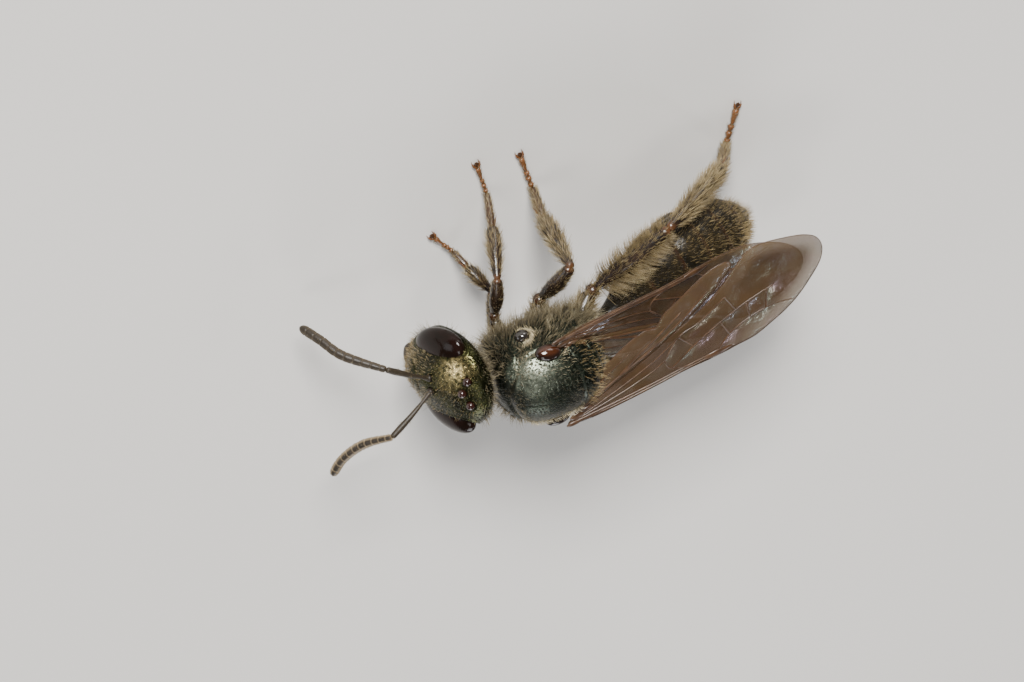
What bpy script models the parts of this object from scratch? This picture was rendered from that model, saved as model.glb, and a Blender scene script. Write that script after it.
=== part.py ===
"""A still, life-size model of a small metallic furrow bee, standing with its wings folded.

The bee faces -X, its right side is +Y and its back is +Z. Every length is in millimetres,
measured from the point midway between the two wing hinges, until publish() scales the
finished pieces to metres and puts the origin under the middle of the bee.
"""
import math

import bmesh
import bpy
from mathutils import Matrix, Vector
from mathutils.geometry import delaunay_2d_cdt

# Overall sizes
MM = 0.001
GAP = 0.04
FLOOR = -2.95
TINY = 0.002
SMOOTH_ANGLE = math.radians(40.0)
SIDES = (("right", 1), ("left", -1))

# Head: its centre, its own axes (right, down the face, out of the face) and half sizes
HEAD_AT = Vector((-1.621, 0.087, -1.108))
HEAD_RIGHT = Vector((0.082, 0.971, -0.226)).normalized()
HEAD_DOWN = Vector((-0.413, -0.173, -0.894)).normalized()
HEAD_OUT = HEAD_RIGHT.cross(HEAD_DOWN).normalized()
HEAD_HALF = (1.07, 1.11, 0.50)
HEAD_BACK = 0.76
CHIN_TAPER = 0.20
CLYPEUS_RISE = 0.13
EYE_HALF = (0.40, 0.68, 0.24)
EYE_AT = (0.69, 0.01, 0.14)
EYE_LEAN = math.radians(14.5)
OCELLUS_RADIUS = 0.10
OCELLI = {"median": (0.0, -0.70, 0.37), "right": (0.26, -0.81, 0.30), "left": (-0.26, -0.81, 0.30)}
SOCKET = (0.135, 0.075, 0.47)
MANDIBLE_KNOTS = [(0.42, 0.84, 0.20), (0.33, 1.01, 0.28), (0.10, 1.09, 0.31)]
MANDIBLE_RADII = (0.15, 0.07)

# Antennae: elbow, then the beads of the flagellum out to its tip
ANTENNA = {
    "right": [(-2.88, 0.96, -0.94), (-3.53, 1.21, -1.43),
              (-3.82, 1.41, -1.85), (-4.06, 1.53, -2.24)],
    "left": [(-3.09, -0.44, -0.61), (-3.56, -0.75, -1.01),
             (-3.96, -1.14, -1.23), (-4.22, -1.52, -1.29)],
}
SCAPE_RADIUS = 0.23
FLAGELLUM_RADIUS = 0.24
FLAGELLUM_BEADS = 10

# Thorax stations along X: x, height of the centre, half width, half height
THORAX = [
    (-1.40, -1.21, 0.19, 0.19), (-1.17, -1.14, 0.22, 0.22), (-1.02, -1.06, 0.34, 0.36),
    (-0.92, -0.84, 0.62, 0.64), (-0.72, -0.65, 0.84, 0.86), (-0.35, -0.56, 0.95, 0.97),
    (0.10, -0.55, 0.98, 1.00), (0.50, -0.57, 0.94, 0.98), (0.80, -0.63, 0.86, 0.92),
    (1.05, -0.76, 0.72, 0.79), (1.25, -0.93, 0.52, 0.58), (1.38, -1.07, 0.33, 0.36),
    (1.46, -1.14, 0.24, 0.25),
]
COLLAR_X = -0.66
SCUTELLUM_X = 0.56
METANOTUM_X = 0.98
SIDE_Z = -0.14
TEGULA_AT = (0.02, 0.88, 0.01)
TEGULA_HALF = (0.26, 0.19, 0.15)

# Abdomen: axis from the petiole to the tip, and half widths along it
PETIOLE = Vector((1.53, 0.05, -1.17))
ABDOMEN_END = Vector((5.05, 0.35, -2.28))
ABDOMEN_WIDTHS = [0.20, 0.34, 0.62, 0.86, 0.99, 1.05, 1.06, 1.03, 0.95, 0.81, 0.58, 0.18]
ABDOMEN_FLATNESS = 0.76
WAIST_SHARE = 0.2
ABDOMEN_STEPS = 120
SEGMENT_ENDS = [0.0, 0.27, 0.46, 0.62, 0.76, 0.89, 1.0]
SEGMENT_STEP = 0.05

# Wings: hinge, direction along the leading edge, direction across it towards the hind edge
WINGS = {
    "left": ((0.05, -0.98, 0.15), (0.993, 0.083, -0.055), (-0.083, 0.996, -0.01)),
    "right": ((0.05, 1.03, 0.02), (0.978, -0.012, -0.205), (-0.02, -0.994, -0.09)),
}
WING_HALF = 0.20
VEIN_RISE = 0.035
VEIN_HALF = 0.07
WING_CAMBER = 0.05
FOREWING = [
    (0.27, -0.07), (1.0, -0.09), (1.9, -0.05), (2.6, -0.01), (3.2, -0.03), (3.75, -0.02), (4.2, 0.02),
    (4.7, 0.19), (5.14, 0.44), (5.5, 0.74), (5.74, 1.05), (5.83, 1.35), (5.76, 1.62), (5.56, 1.81),
    (5.3, 1.93), (5.0, 2.02), (4.72, 2.08), (4.45, 2.10), (4.2, 1.98), (3.6, 1.47), (2.84, 1.04),
    (1.92, 0.62), (0.88, 0.26), (0.27, 0.12),
]
HINDWING = [
    (0.45, 0.24), (0.9, 0.35), (1.92, 0.71), (2.84, 1.13), (3.56, 1.55), (3.95, 1.88), (3.92, 2.06),
    (3.6, 2.05), (3.2, 1.90), (2.8, 1.70), (2.45, 1.52), (2.22, 1.30), (2.0, 1.36), (1.6, 1.24),
    (1.1, 0.98), (0.7, 0.66), (0.45, 0.40),
]
FOREWING_VEINS = [
    [(0.32, 0.0), (1.0, 0.02), (1.9, 0.05), (2.8, 0.09), (3.3, 0.08), (3.45, 0.07)],
    [(3.3, 0.08), (3.62, 0.36), (4.1, 0.52), (4.6, 0.55), (5.0, 0.45)],
    [(0.5, 0.08), (1.2, 0.17), (1.9, 0.32), (2.25, 0.46)],
    [(2.75, 0.08), (2.45, 0.13), (2.27, 0.28), (2.25, 0.46)],
    [(2.25, 0.46), (2.62, 0.86), (3.1, 0.98), (3.7, 1.28)],
    [(2.35, 0.20), (2.9, 0.50), (3.45, 0.72), (4.1, 0.92), (4.7, 1.02)],
    [(3.62, 0.36), (3.5, 0.72)],
    [(4.1, 0.52), (4.08, 0.92)],
    [(4.45, 0.55), (4.55, 0.99)],
    [(2.62, 0.86), (2.85, 0.50)],
    [(3.7, 1.28), (3.85, 0.86)],
    [(0.45, 0.10), (1.2, 0.30), (2.0, 0.56), (2.62, 0.86)],
]
HINDWING_VEINS = [
    [(0.55, 0.36), (1.2, 0.56), (2.1, 0.90), (2.9, 1.30), (3.4, 1.62)],
    [(1.3, 0.60), (1.75, 0.88), (2.2, 1.10), (2.8, 1.42)],
    [(0.6, 0.42), (1.0, 0.72), (1.6, 1.02)],
]
SHEET_GRID = 0.42

# Legs: hip, end of the short upper joints, knee and ankle, then the ball of the foot and the
# tip of the claws, which lie along the floor
LEGS = {
    "fore_right": [(-0.48, 0.30, -1.25), (-0.50, 0.72, -1.50), (-0.34, 1.79, -1.38),
                   (-0.03, 2.28, -2.26), (0.13, 2.58), (0.04, 3.26)],
    "mid_right": [(0.28, 0.35, -1.30), (0.40, 0.80, -1.46), (1.00, 1.82, -0.96),
                  (0.96, 2.12, -2.22), (1.03, 2.32), (0.91, 3.13)],
    "hind_right": [(0.98, 0.35, -1.05), (1.38, 0.74, -1.26), (3.06, 1.80, -1.06),
                   (4.57, 1.94, -2.00), (4.98, 1.68), (5.30, 2.45)],
    "fore_left": [(-0.50, -0.40, -1.25), (-0.50, -0.28, -1.86), (-0.30, 0.86, -2.10),
                  (-0.58, 1.26, -2.52), (-0.72, 1.46), (-1.02, 1.92)],
    "mid_left": [(0.28, -0.35, -1.30), (0.36, -0.82, -1.44), (0.60, -1.72, -1.02),
                 (0.78, -2.24, -2.14), (0.86, -2.50), (0.95, -3.22)],
    "hind_left": [(0.92, -0.40, -1.10), (1.16, -0.84, -1.30), (2.02, -1.92, -1.22),
                  (2.40, -2.66, -2.18), (2.50, -3.02), (2.63, -3.78)],
}
FOOT_RISE = 0.145
HEEL_ROUNDING = 0.5
HEEL_SHARE = 0.86
THIGH_RADIUS = {"fore": 0.26, "mid": 0.27, "hind": 0.30}
SHIN_RADIUS = {"fore": 0.24, "mid": 0.25, "hind": 0.28}
FOOT_RADIUS = {"fore": 0.235, "mid": 0.235, "hind": 0.25}

# Colours as base colour, roughness and metallic
FINISHES = {
    "green": ((0.055, 0.075, 0.030), 0.30, 0.85),
    "black": ((0.020, 0.017, 0.012), 0.35, 0.10),
    "eye": ((0.022, 0.010, 0.007), 0.12, 0.0),
    "amber": ((0.100, 0.030, 0.012), 0.18, 0.0),
    "wing": ((0.200, 0.140, 0.090), 0.30, 0.0),
    "leg": ((0.090, 0.065, 0.035), 0.55, 0.0),
    "horn": ((0.035, 0.024, 0.016), 0.40, 0.0),
}


def clear_scene():
    for item in list(bpy.data.objects):
        bpy.data.objects.remove(item, do_unlink=True)


def material(name, finish):
    colour, roughness, metallic = FINISHES[finish]
    made = bpy.data.materials.new(name)
    made.use_nodes = True
    shader = made.node_tree.nodes["Principled BSDF"]
    shader.inputs["Base Color"].default_value = (*colour, 1.0)
    shader.inputs["Roughness"].default_value = roughness
    shader.inputs["Metallic"].default_value = metallic
    return made


def spline(rows, count):
    """Catmull-Rom curve through rows of equal length, read at count even steps."""
    last = len(rows) - 1
    out = []
    for step in range(count):
        place = last * step / (count - 1)
        at = min(int(place), last - 1)
        t = place - at
        near = [rows[max(0, min(last, at + k))] for k in (-1, 0, 1, 2)]
        out.append(tuple(
            0.5 * (2 * b + (c - a) * t + (2 * a - 5 * b + 4 * c - d) * t * t
                   + (3 * b - a - 3 * c + d) * t ** 3)
            for a, b, c, d in zip(*near)))
    return out


def smooth_step(low, high, value):
    t = max(0.0, min(1.0, (value - low) / (high - low)))
    return t * t * (3.0 - 2.0 * t)


def loft(centres, wides, highs, sideways, sides):
    """Closed body of elliptical rings round a path, wide along the sideways direction."""
    body = bmesh.new()
    rings = []
    for i, centre in enumerate(centres):
        ahead = centres[min(i + 1, len(centres) - 1)] - centres[max(i - 1, 0)]
        ahead.normalize()
        side = (sideways - ahead * sideways.dot(ahead)).normalized()
        up = ahead.cross(side)
        ring = []
        for k in range(sides):
            turn = 2.0 * math.pi * (k + 0.5) / sides
            offset = side * (math.cos(turn) * wides[i]) + up * (math.sin(turn) * highs[i])
            ring.append(body.verts.new(centre + offset))
        rings.append(ring)
    for first, second in zip(rings, rings[1:]):
        for k in range(sides):
            n = (k + 1) % sides
            body.faces.new((first[k], first[n], second[n], second[k]))
    body.faces.new(list(reversed(rings[0])))
    body.faces.new(rings[-1])
    bmesh.ops.recalc_face_normals(body, faces=body.faces)
    return body


def dome_radii(count, radius_at, length, start_dome, end_dome):
    """Radii at even steps along a length, rounded off at either end."""
    out = []
    for i in range(count):
        t = i / (count - 1)
        radius = radius_at(t)
        for reach, dome in ((t * length, start_dome), ((1.0 - t) * length, end_dome)):
            if dome > 0.0 and reach < dome:
                radius *= max(0.16, math.sqrt(max(0.0, 1.0 - (1.0 - reach / dome) ** 2)))
        out.append(radius)
    return out


def path_length(points):
    return sum((b - a).length for a, b in zip(points, points[1:]))


def limb(knots, radius_at, grow=0.0, count=14, sides=10, start_dome=0.2, end_dome=0.2, flat=1.0):
    """Closed round limb along a smooth curve through its knots."""
    points = [Vector(row) for row in spline([tuple(k) for k in knots], count)]
    radii = dome_radii(count, radius_at, path_length(points), start_dome, end_dome)
    wides = [r + grow for r in radii]
    highs = [r * flat + grow for r in radii]
    return loft(points, wides, highs, Vector((0.31, 0.12, 0.94)), sides)


def cut(body, point, normal):
    """Removes what lies beyond a plane and closes the body there."""
    bmesh.ops.bisect_plane(body, geom=body.verts[:] + body.edges[:] + body.faces[:], dist=TINY,
                           plane_co=point, plane_no=normal, clear_outer=True)
    bmesh.ops.holes_fill(body, edges=[e for e in body.edges if e.is_boundary], sides=0)
    bmesh.ops.recalc_face_normals(body, faces=body.faces)


def mesh_object(name, body):
    if body.calc_volume(signed=True) < 0.0:
        bmesh.ops.reverse_faces(body, faces=body.faces)
    mesh = bpy.data.meshes.new(name)
    body.to_mesh(mesh)
    body.free()
    item = bpy.data.objects.new(name, mesh)
    bpy.context.scene.collection.objects.link(item)
    return item


def keep_largest(body):
    """Keeps the closed surface with the most faces."""
    left = set(body.faces)
    best = []
    while left:
        stack = [left.pop()]
        shell = list(stack)
        while stack:
            for edge in stack.pop().edges:
                for face in edge.link_faces:
                    if face in left:
                        left.remove(face)
                        stack.append(face)
                        shell.append(face)
        if len(shell) > len(best):
            best = shell
    kept = set(best)
    bmesh.ops.delete(body, geom=[f for f in body.faces if f not in kept], context="FACES")
    loose = [v for v in body.verts if not v.link_faces]
    bmesh.ops.delete(body, geom=loose, context="VERTS")


def subtract(item, other):
    """Cuts another object out of item for good, and removes that object."""
    step = item.modifiers.new("cut", "BOOLEAN")
    step.operation = "DIFFERENCE"
    step.solver = "EXACT"
    step.object = other
    shaped = item.evaluated_get(bpy.context.evaluated_depsgraph_get())
    mesh = bpy.data.meshes.new_from_object(shaped)
    item.modifiers.clear()
    item.data = mesh
    bpy.data.objects.remove(other, do_unlink=True)
    body = bmesh.new()
    body.from_mesh(mesh)
    bmesh.ops.remove_doubles(body, verts=body.verts, dist=TINY)
    bmesh.ops.dissolve_degenerate(body, edges=body.edges, dist=TINY)
    keep_largest(body)
    body.to_mesh(mesh)
    body.free()


def carve(item, *cutters):
    for cutter in cutters:
        subtract(item, mesh_object("cutter", cutter))


def ellipsoid(centre, half, axes, grow=0.0, across=16, along=12):
    body = bmesh.new()
    bmesh.ops.create_uvsphere(body, u_segments=across, v_segments=along, radius=1.0)
    for vert in body.verts:
        vert.co = centre + sum((axes[k] * (vert.co[k] * (half[k] + grow)) for k in range(3)), Vector())
    bmesh.ops.recalc_face_normals(body, faces=body.faces)
    return body


def head_point(right, down, out):
    return HEAD_AT + HEAD_RIGHT * right + HEAD_DOWN * down + HEAD_OUT * out


def head_body(grow=0.0):
    """Rounded head, narrower towards the chin, with the raised shield above the mouth."""
    body = bmesh.new()
    bmesh.ops.create_uvsphere(body, u_segments=30, v_segments=18, radius=1.0)
    for vert in body.verts:
        y, n, f = vert.co
        depth = HEAD_HALF[2] * (1.0 if n > 0.0 else HEAD_BACK)
        taper = 1.0 - CHIN_TAPER * smooth_step(0.15, 1.0, f)
        right = (HEAD_HALF[0] + grow) * y * taper
        down = (HEAD_HALF[1] + grow) * f
        out = (depth + grow) * n
        if n > 0.0:
            shield = math.exp(-((f - 0.62) / 0.26) ** 2 - (y / 0.36) ** 2)
            out += CLYPEUS_RISE * shield * n
        vert.co = head_point(right, down, out)
    bmesh.ops.recalc_face_normals(body, faces=body.faces)
    return body


def eye_body(side, grow=0.0):
    lean = Matrix.Rotation(EYE_LEAN * side, 3, HEAD_OUT)
    axes = [lean @ HEAD_RIGHT, lean @ HEAD_DOWN, HEAD_OUT]
    centre = head_point(EYE_AT[0] * side, EYE_AT[1], EYE_AT[2])
    return ellipsoid(centre, EYE_HALF, axes, grow)


def ocellus_body(place, grow=0.0):
    axes = [HEAD_RIGHT, HEAD_DOWN, HEAD_OUT]
    return ellipsoid(head_point(*place), (OCELLUS_RADIUS,) * 3, axes, grow, 8, 6)


def build_head():
    head = mesh_object("head", head_body())
    for word, side in SIDES:
        carve(head, eye_body(side, GAP))
        eye = mesh_object("eye_" + word, eye_body(side))
        eye.data.materials.append(material("eye_" + word, "eye"))
    for word, place in OCELLI.items():
        carve(head, ocellus_body(place, GAP * 0.75))
        ocellus = mesh_object("ocellus_" + word, ocellus_body(place))
        ocellus.data.materials.append(material("ocellus_" + word, "amber"))
    head.data.materials.append(material("head", "green"))


def build_mandibles():
    """Two jaws that curve in from the cheeks and close below the mouth shield."""
    first, last = MANDIBLE_RADII
    for word, side in SIDES:
        knots = [head_point(y * side, f, n) for y, f, n in MANDIBLE_KNOTS]
        body = limb(knots, lambda t: first + (last - first) * t, count=10, sides=8,
                    end_dome=0.1, flat=0.7)
        mandible = mesh_object("mandible_" + word, body)
        carve(mandible, head_body(GAP))
        mandible.data.materials.append(material("mandible_" + word, "horn"))


def flagellum_radius(t):
    bead = 0.5 - 0.5 * math.cos(2.0 * math.pi * t * FLAGELLUM_BEADS)
    return FLAGELLUM_RADIUS * (0.92 + 0.08 * bead)


def scape_body(side, elbow, grow=0.0):
    root = head_point(SOCKET[0] * side, SOCKET[1], SOCKET[2])
    return limb([root, root.lerp(elbow, 0.5), elbow],
                lambda t: 0.09 + (SCAPE_RADIUS - 0.09) * smooth_step(0.1, 0.55, t),
                grow, count=12, start_dome=0.0)


def build_antennae():
    for word, side in SIDES:
        knots = [Vector(p) for p in ANTENNA[word]]
        scape = mesh_object("scape_" + word, scape_body(side, knots[0]))
        carve(scape, head_body(GAP))
        scape.data.materials.append(material("scape_" + word, "horn"))
        whip = mesh_object("flagellum_" + word,
                           limb(knots, flagellum_radius, count=31, sides=8, start_dome=0.2, end_dome=0.3))
        carve(whip, scape_body(side, knots[0], GAP))
        whip.data.materials.append(material("flagellum_" + word, "horn"))


def thorax_body(grow=0.0):
    rows = spline(THORAX, 26)
    centres = [Vector((x, 0.0, z)) for x, z, w, h in rows]
    body = bmesh.new()
    rings = []
    sides = 30
    for centre, (x, z, wide, high) in zip(centres, rows):
        ring = []
        for k in range(sides):
            turn = 2.0 * math.pi * (k + 0.5) / sides
            ring.append(body.verts.new((x, (wide + grow) * math.cos(turn),
                                        z + (high + grow) * math.sin(turn))))
        rings.append(ring)
    for first, second in zip(rings, rings[1:]):
        for k in range(sides):
            n = (k + 1) % sides
            body.faces.new((first[k], second[k], second[n], first[n]))
    body.faces.new(rings[0])
    body.faces.new(list(reversed(rings[-1])))
    bmesh.ops.recalc_face_normals(body, faces=body.faces)
    return body


def thorax_piece(name, finish, planes):
    """The part of the thorax on the inner side of each plane."""
    body = thorax_body()
    for point, normal in planes:
        cut(body, Vector(point), Vector(normal))
    piece = mesh_object(name, body)
    piece.data.materials.append(material(name, finish))
    return piece


def build_thorax():
    half = GAP / 2.0
    ahead, behind = (-1.0, 0.0, 0.0), (1.0, 0.0, 0.0)
    above, below = (0.0, 0.0, 1.0), (0.0, 0.0, -1.0)
    collar = thorax_piece("pronotum", "green", [((COLLAR_X - half, 0, 0), behind)])
    carve(collar, head_body(GAP))
    thorax_piece("scutum", "green", [((COLLAR_X + half, 0, 0), ahead),
                                     ((SCUTELLUM_X - half, 0, 0), behind),
                                     ((0, 0, SIDE_Z + half), below)])
    thorax_piece("scutellum", "green", [((SCUTELLUM_X + half, 0, 0), ahead),
                                        ((METANOTUM_X - half, 0, 0), behind),
                                        ((0, 0, SIDE_Z + half), below)])
    thorax_piece("mesopleura", "green", [((COLLAR_X + half, 0, 0), ahead),
                                         ((METANOTUM_X - half, 0, 0), behind),
                                         ((0, 0, SIDE_Z - half), above)])
    thorax_piece("propodeum", "green", [((METANOTUM_X + half, 0, 0), ahead)])


def tegula_body(side, grow=0.0):
    axes = [Vector((1, 0, 0)), Vector((0, 1, 0)), Vector((0, 0, 1))]
    x, y, z = TEGULA_AT
    return ellipsoid(Vector((x, y * side, z)), TEGULA_HALF, axes, grow, 16, 10)


def build_tegulae():
    for word, side in SIDES:
        tegula = mesh_object("tegula_" + word, tegula_body(side))
        carve(tegula, thorax_body(GAP))
        tegula.data.materials.append(material("tegula_" + word, "amber"))


def abdomen_half_width(t):
    rows = spline([(w,) for w in ABDOMEN_WIDTHS], ABDOMEN_STEPS + 1)
    return rows[int(round(t * ABDOMEN_STEPS))][0]


def build_abdomen():
    """Six overlapping rings: each is a little narrower in front than the one before ends."""
    for number, (start, end) in enumerate(zip(SEGMENT_ENDS, SEGMENT_ENDS[1:]), 1):
        length = (ABDOMEN_END - PETIOLE).length
        first = start + GAP / length if number > 1 else 0.0
        count = 8 if number in (1, 6) else 4
        steps = [first + (end - first) * i / (count - 1) for i in range(count)]
        centres = [PETIOLE.lerp(ABDOMEN_END, t) for t in steps]
        wides = []
        for t in steps:
            lip = SEGMENT_STEP * (1.0 - smooth_step(0.0, 0.45, (t - first) / (end - first)))
            wides.append(abdomen_half_width(t) - (lip if number > 1 else 0.0))
        highs = [w * (1.0 - (1.0 - ABDOMEN_FLATNESS) * smooth_step(0.0, WAIST_SHARE, t))
                 for w, t in zip(wides, steps)]
        body = loft(centres, wides, highs, Vector((0, 1, 0)), 28)
        ring = mesh_object("abdomen_" + str(number), body)
        ring.data.materials.append(material("abdomen_" + str(number), "black"))


def distance_to_line(point, line):
    best = 1e9
    for a, b in zip(line, line[1:]):
        run = b - a
        t = max(0.0, min(1.0, (point - a).dot(run) / run.length_squared))
        best = min(best, (point - a - run * t).length)
    return best


def sheet_points(outline, veins):
    """Outline, vein strips and a few points between them, joined into triangles."""
    points = [Vector(p) for p in outline]
    rim = list(range(len(points)))
    edges = []
    crests = []
    for vein in veins:
        rows = spline(vein, 2 * len(vein) - 1) if len(vein) > 2 else vein
        crest = [Vector(p) for p in rows]
        crests.append(crest)
        start = len(points)
        points += crest
        edges += [(start + i, start + i + 1) for i in range(len(crest) - 1)]
    xs = [p.x for p in points]
    ys = [p.y for p in points]
    for i in range(int((max(xs) - min(xs)) / SHEET_GRID) + 1):
        for j in range(int((max(ys) - min(ys)) / SHEET_GRID) + 1):
            spot = Vector((min(xs) + i * SHEET_GRID, min(ys) + j * SHEET_GRID))
            ring = [Vector(p) for p in outline + outline[:1]]
            clear = distance_to_line(spot, ring) > 0.16 and inside(spot, outline)
            if clear and all(distance_to_line(spot, c) > 0.16 for c in crests):
                points.append(spot)
    for crest in crests:
        for a, b in zip(crest, crest[1:]):
            across = Vector((a.y - b.y, b.x - a.x)).normalized() * VEIN_HALF
            for spot in (a.lerp(b, 0.5) + across, a.lerp(b, 0.5) - across):
                if inside(spot, outline) and all(distance_to_line(spot, c) > 0.05 for c in crests):
                    points.append(spot)
    result = delaunay_2d_cdt(points, edges, [rim], 1, 1e-4)
    return result[0], result[2], crests


def inside(spot, outline):
    hits = False
    for (x0, y0), (x1, y1) in zip(outline, outline[1:] + outline[:1]):
        if (y0 > spot.y) != (y1 > spot.y):
            if spot.x < x0 + (spot.y - y0) * (x1 - x0) / (y1 - y0):
                hits = not hits
    return hits


def wing_body(frame, outline, veins):
    """Plate whose two faces carry the same triangles, with the veins raised in both."""
    hinge, along, across = (Vector(v) for v in frame)
    along.normalize()
    across = (across - along * across.dot(along)).normalized()
    up = along.cross(across)
    if up.z < 0.0:
        up = -up
    points, triangles, crests = sheet_points(outline, veins)
    body = bmesh.new()
    faces = {}
    for sign in (1.0, -1.0):
        layer = []
        for p in points:
            near = min(distance_to_line(p, c) for c in crests)
            rise = VEIN_RISE * max(0.0, 1.0 - near / VEIN_HALF)
            bow = WING_CAMBER * math.sin(math.pi * min(1.0, p.x / 5.8)) * (1.0 - p.y / 2.0)
            lift = bow + sign * (WING_HALF + rise)
            layer.append(body.verts.new(hinge + along * p.x + across * p.y + up * lift))
        faces[sign] = layer
        for tri in triangles:
            corners = [layer[i] for i in (tri if sign > 0 else tri[::-1])]
            body.faces.new(corners)
    top, bottom = faces[1.0], faces[-1.0]
    index = {v: i for i, v in enumerate(top)}
    for edge in [e for e in body.edges if e.is_boundary and e.verts[0] in index]:
        a, b = (index[v] for v in edge.verts)
        body.faces.new((top[a], top[b], bottom[b], bottom[a]))
    bmesh.ops.recalc_face_normals(body, faces=body.faces)
    return body


def build_wings():
    for word, side in SIDES:
        for name, outline, veins in (("forewing_", FOREWING, FOREWING_VEINS),
                                     ("hindwing_", HINDWING, HINDWING_VEINS)):
            wing = mesh_object(name + word, wing_body(WINGS[word], outline, veins))
            carve(wing, thorax_body(GAP), tegula_body(side, GAP))
            wing.data.materials.append(material(name + word, "wing"))


def leg_parts(name, grow=0.0):
    """Upper leg, shin and foot, each along its own few knots."""
    hip, knuckle, knee, ankle = (Vector(p) for p in LEGS[name][:4])
    ball, tip = (Vector((*p, FLOOR + FOOT_RISE)) for p in LEGS[name][4:])
    pair = name.split("_")[0]
    thigh, shin, foot = THIGH_RADIUS[pair], SHIN_RADIUS[pair], FOOT_RADIUS[pair]
    upper = limb([hip, knuckle, knuckle.lerp(knee, 0.5), knee],
                 lambda t: thigh * (0.96 + 0.12 * math.sin(math.pi * smooth_step(0.25, 1.0, t))),
                 grow, count=13, start_dome=0.0, end_dome=thigh)
    lower = limb([knee, knee.lerp(ankle, 0.5), ankle],
                 lambda t: shin * (0.88 + 0.12 * t), grow, count=12,
                 start_dome=shin, end_dome=shin)
    above, ahead = ankle.lerp(ball, 0.5), ball.lerp(tip, 0.5)
    heel = ball.lerp((above + ahead) / 2.0, HEEL_ROUNDING)
    paw = limb([ankle, above, heel, ahead, tip],
               lambda t: foot * (HEEL_SHARE + (1.0 - HEEL_SHARE) * abs(2.0 * t - 1.0)),
               grow, count=17, sides=8, start_dome=foot, end_dome=0.22)
    cut(paw, Vector((0.0, 0.0, FLOOR)), Vector((0.0, 0.0, -1.0)))
    for vert in paw.verts:
        if vert.co.z < FLOOR + 2.0 * TINY:
            vert.co.z = FLOOR
    return upper, lower, paw


def build_legs():
    for name in LEGS:
        upper, lower, paw = leg_parts(name)
        grown_upper, grown_lower, grown_paw = leg_parts(name, GAP)
        grown_paw.free()
        femur = mesh_object("femur_" + name, upper)
        carve(femur, thorax_body(GAP))
        tibia = mesh_object("tibia_" + name, lower)
        carve(tibia, grown_upper)
        tarsus = mesh_object("tarsus_" + name, paw)
        carve(tarsus, grown_lower)
        for piece in (femur, tibia, tarsus):
            piece.data.materials.append(material(piece.name, "leg"))


def publish():
    """Scales every piece to metres, with the origin under the middle of the bee."""
    items = [o for o in bpy.context.scene.objects if o.type == "MESH"]
    spots = [v.co for o in items for v in o.data.vertices]
    low = Vector([min(p[k] for p in spots) for k in range(3)])
    high = Vector([max(p[k] for p in spots) for k in range(3)])
    centre = (low + high) / 2.0
    move = Matrix.Scale(MM, 4) @ Matrix.Translation((-centre.x, -centre.y, -low.z))
    for item in items:
        body = bmesh.new()
        body.from_mesh(item.data)
        bmesh.ops.triangulate(body, faces=body.faces)
        body.to_mesh(item.data)
        body.free()
        item.data.transform(move)
        item.data.shade_smooth()
        item.data.set_sharp_from_angle(angle=SMOOTH_ANGLE)


def main():
    clear_scene()
    build_head()
    build_mandibles()
    build_antennae()
    build_thorax()
    build_tegulae()
    build_abdomen()
    build_wings()
    build_legs()
    publish()


main()
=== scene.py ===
"""Looks of the furrow bee: its fine skin, wings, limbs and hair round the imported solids.

Shapes are worked out in millimetres from the point midway between the wing hinges, with the
head towards -X, the bee's right side towards +Y and its back up. world() brings them to the
frame of the solids. Most bodies are rows of rings of points. Tone, from 0 to 1, is kept at each
point of a mesh and tells its material how much of its last colour to show.
"""

import bpy
import numpy as np
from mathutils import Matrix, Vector
from mathutils.geometry import delaunay_2d_cdt

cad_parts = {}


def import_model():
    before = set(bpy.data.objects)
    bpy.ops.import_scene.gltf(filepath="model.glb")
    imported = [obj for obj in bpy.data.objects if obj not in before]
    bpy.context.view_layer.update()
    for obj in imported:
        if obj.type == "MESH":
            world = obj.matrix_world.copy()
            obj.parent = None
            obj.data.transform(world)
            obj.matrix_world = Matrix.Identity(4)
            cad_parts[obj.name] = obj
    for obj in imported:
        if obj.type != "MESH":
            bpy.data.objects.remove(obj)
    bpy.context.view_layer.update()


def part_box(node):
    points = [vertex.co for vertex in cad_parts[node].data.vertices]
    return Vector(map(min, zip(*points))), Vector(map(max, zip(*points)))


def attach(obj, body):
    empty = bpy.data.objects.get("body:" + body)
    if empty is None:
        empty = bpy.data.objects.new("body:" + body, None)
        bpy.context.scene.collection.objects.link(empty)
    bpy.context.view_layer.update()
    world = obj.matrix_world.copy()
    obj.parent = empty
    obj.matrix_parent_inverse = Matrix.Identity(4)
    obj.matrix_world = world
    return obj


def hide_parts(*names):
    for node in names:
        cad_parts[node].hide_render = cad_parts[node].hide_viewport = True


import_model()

# Overall sizes
MM = 0.001
FLOOR = -2.95
SIDES = (("right", 1), ("left", -1))

# Hair: the size of one on its UV map, where its rings lie along it and how much it tapers,
# the least it leans off the skin, is long and stays above the floor
PATCH = 0.003
HAIR_RINGS = (0, 0.45, 0.8)
HAIR_TAPER = 0.72
HAIR_HINT = np.array((0.37, -0.51, 0.78))
LEAST_LEAN = 0.08
LEAST_LENGTH = 0.02
LEAST_GAP = 0.012

# Tufts: how many are told apart, the cubes that gather them, and the parts of the UV map
TUFT_NUMBERS = 4096
CELL_PRIMES = (73856093, 19349663, 83492791)
CURL_SHIFT = 7
CLUMP_CELL = 0.11
TUFT_CELL = 0.16
HEAD_PATCH = (0.01, 0.01, 0.32, 0.99)
THORAX_PATCH = (0.34, 0.01, 0.66, 0.99)
ABDOMEN_PATCH = (0.68, 0.01, 0.99, 0.99)
LEG_ROWS = {"coxa": 0.08, "trochanter": 0.04, "femur": 0.3, "tibia": 0.3, "basitarsus": 0.12,
            **{f"toe_{k}": 0.04 for k in range(4)}}

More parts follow.
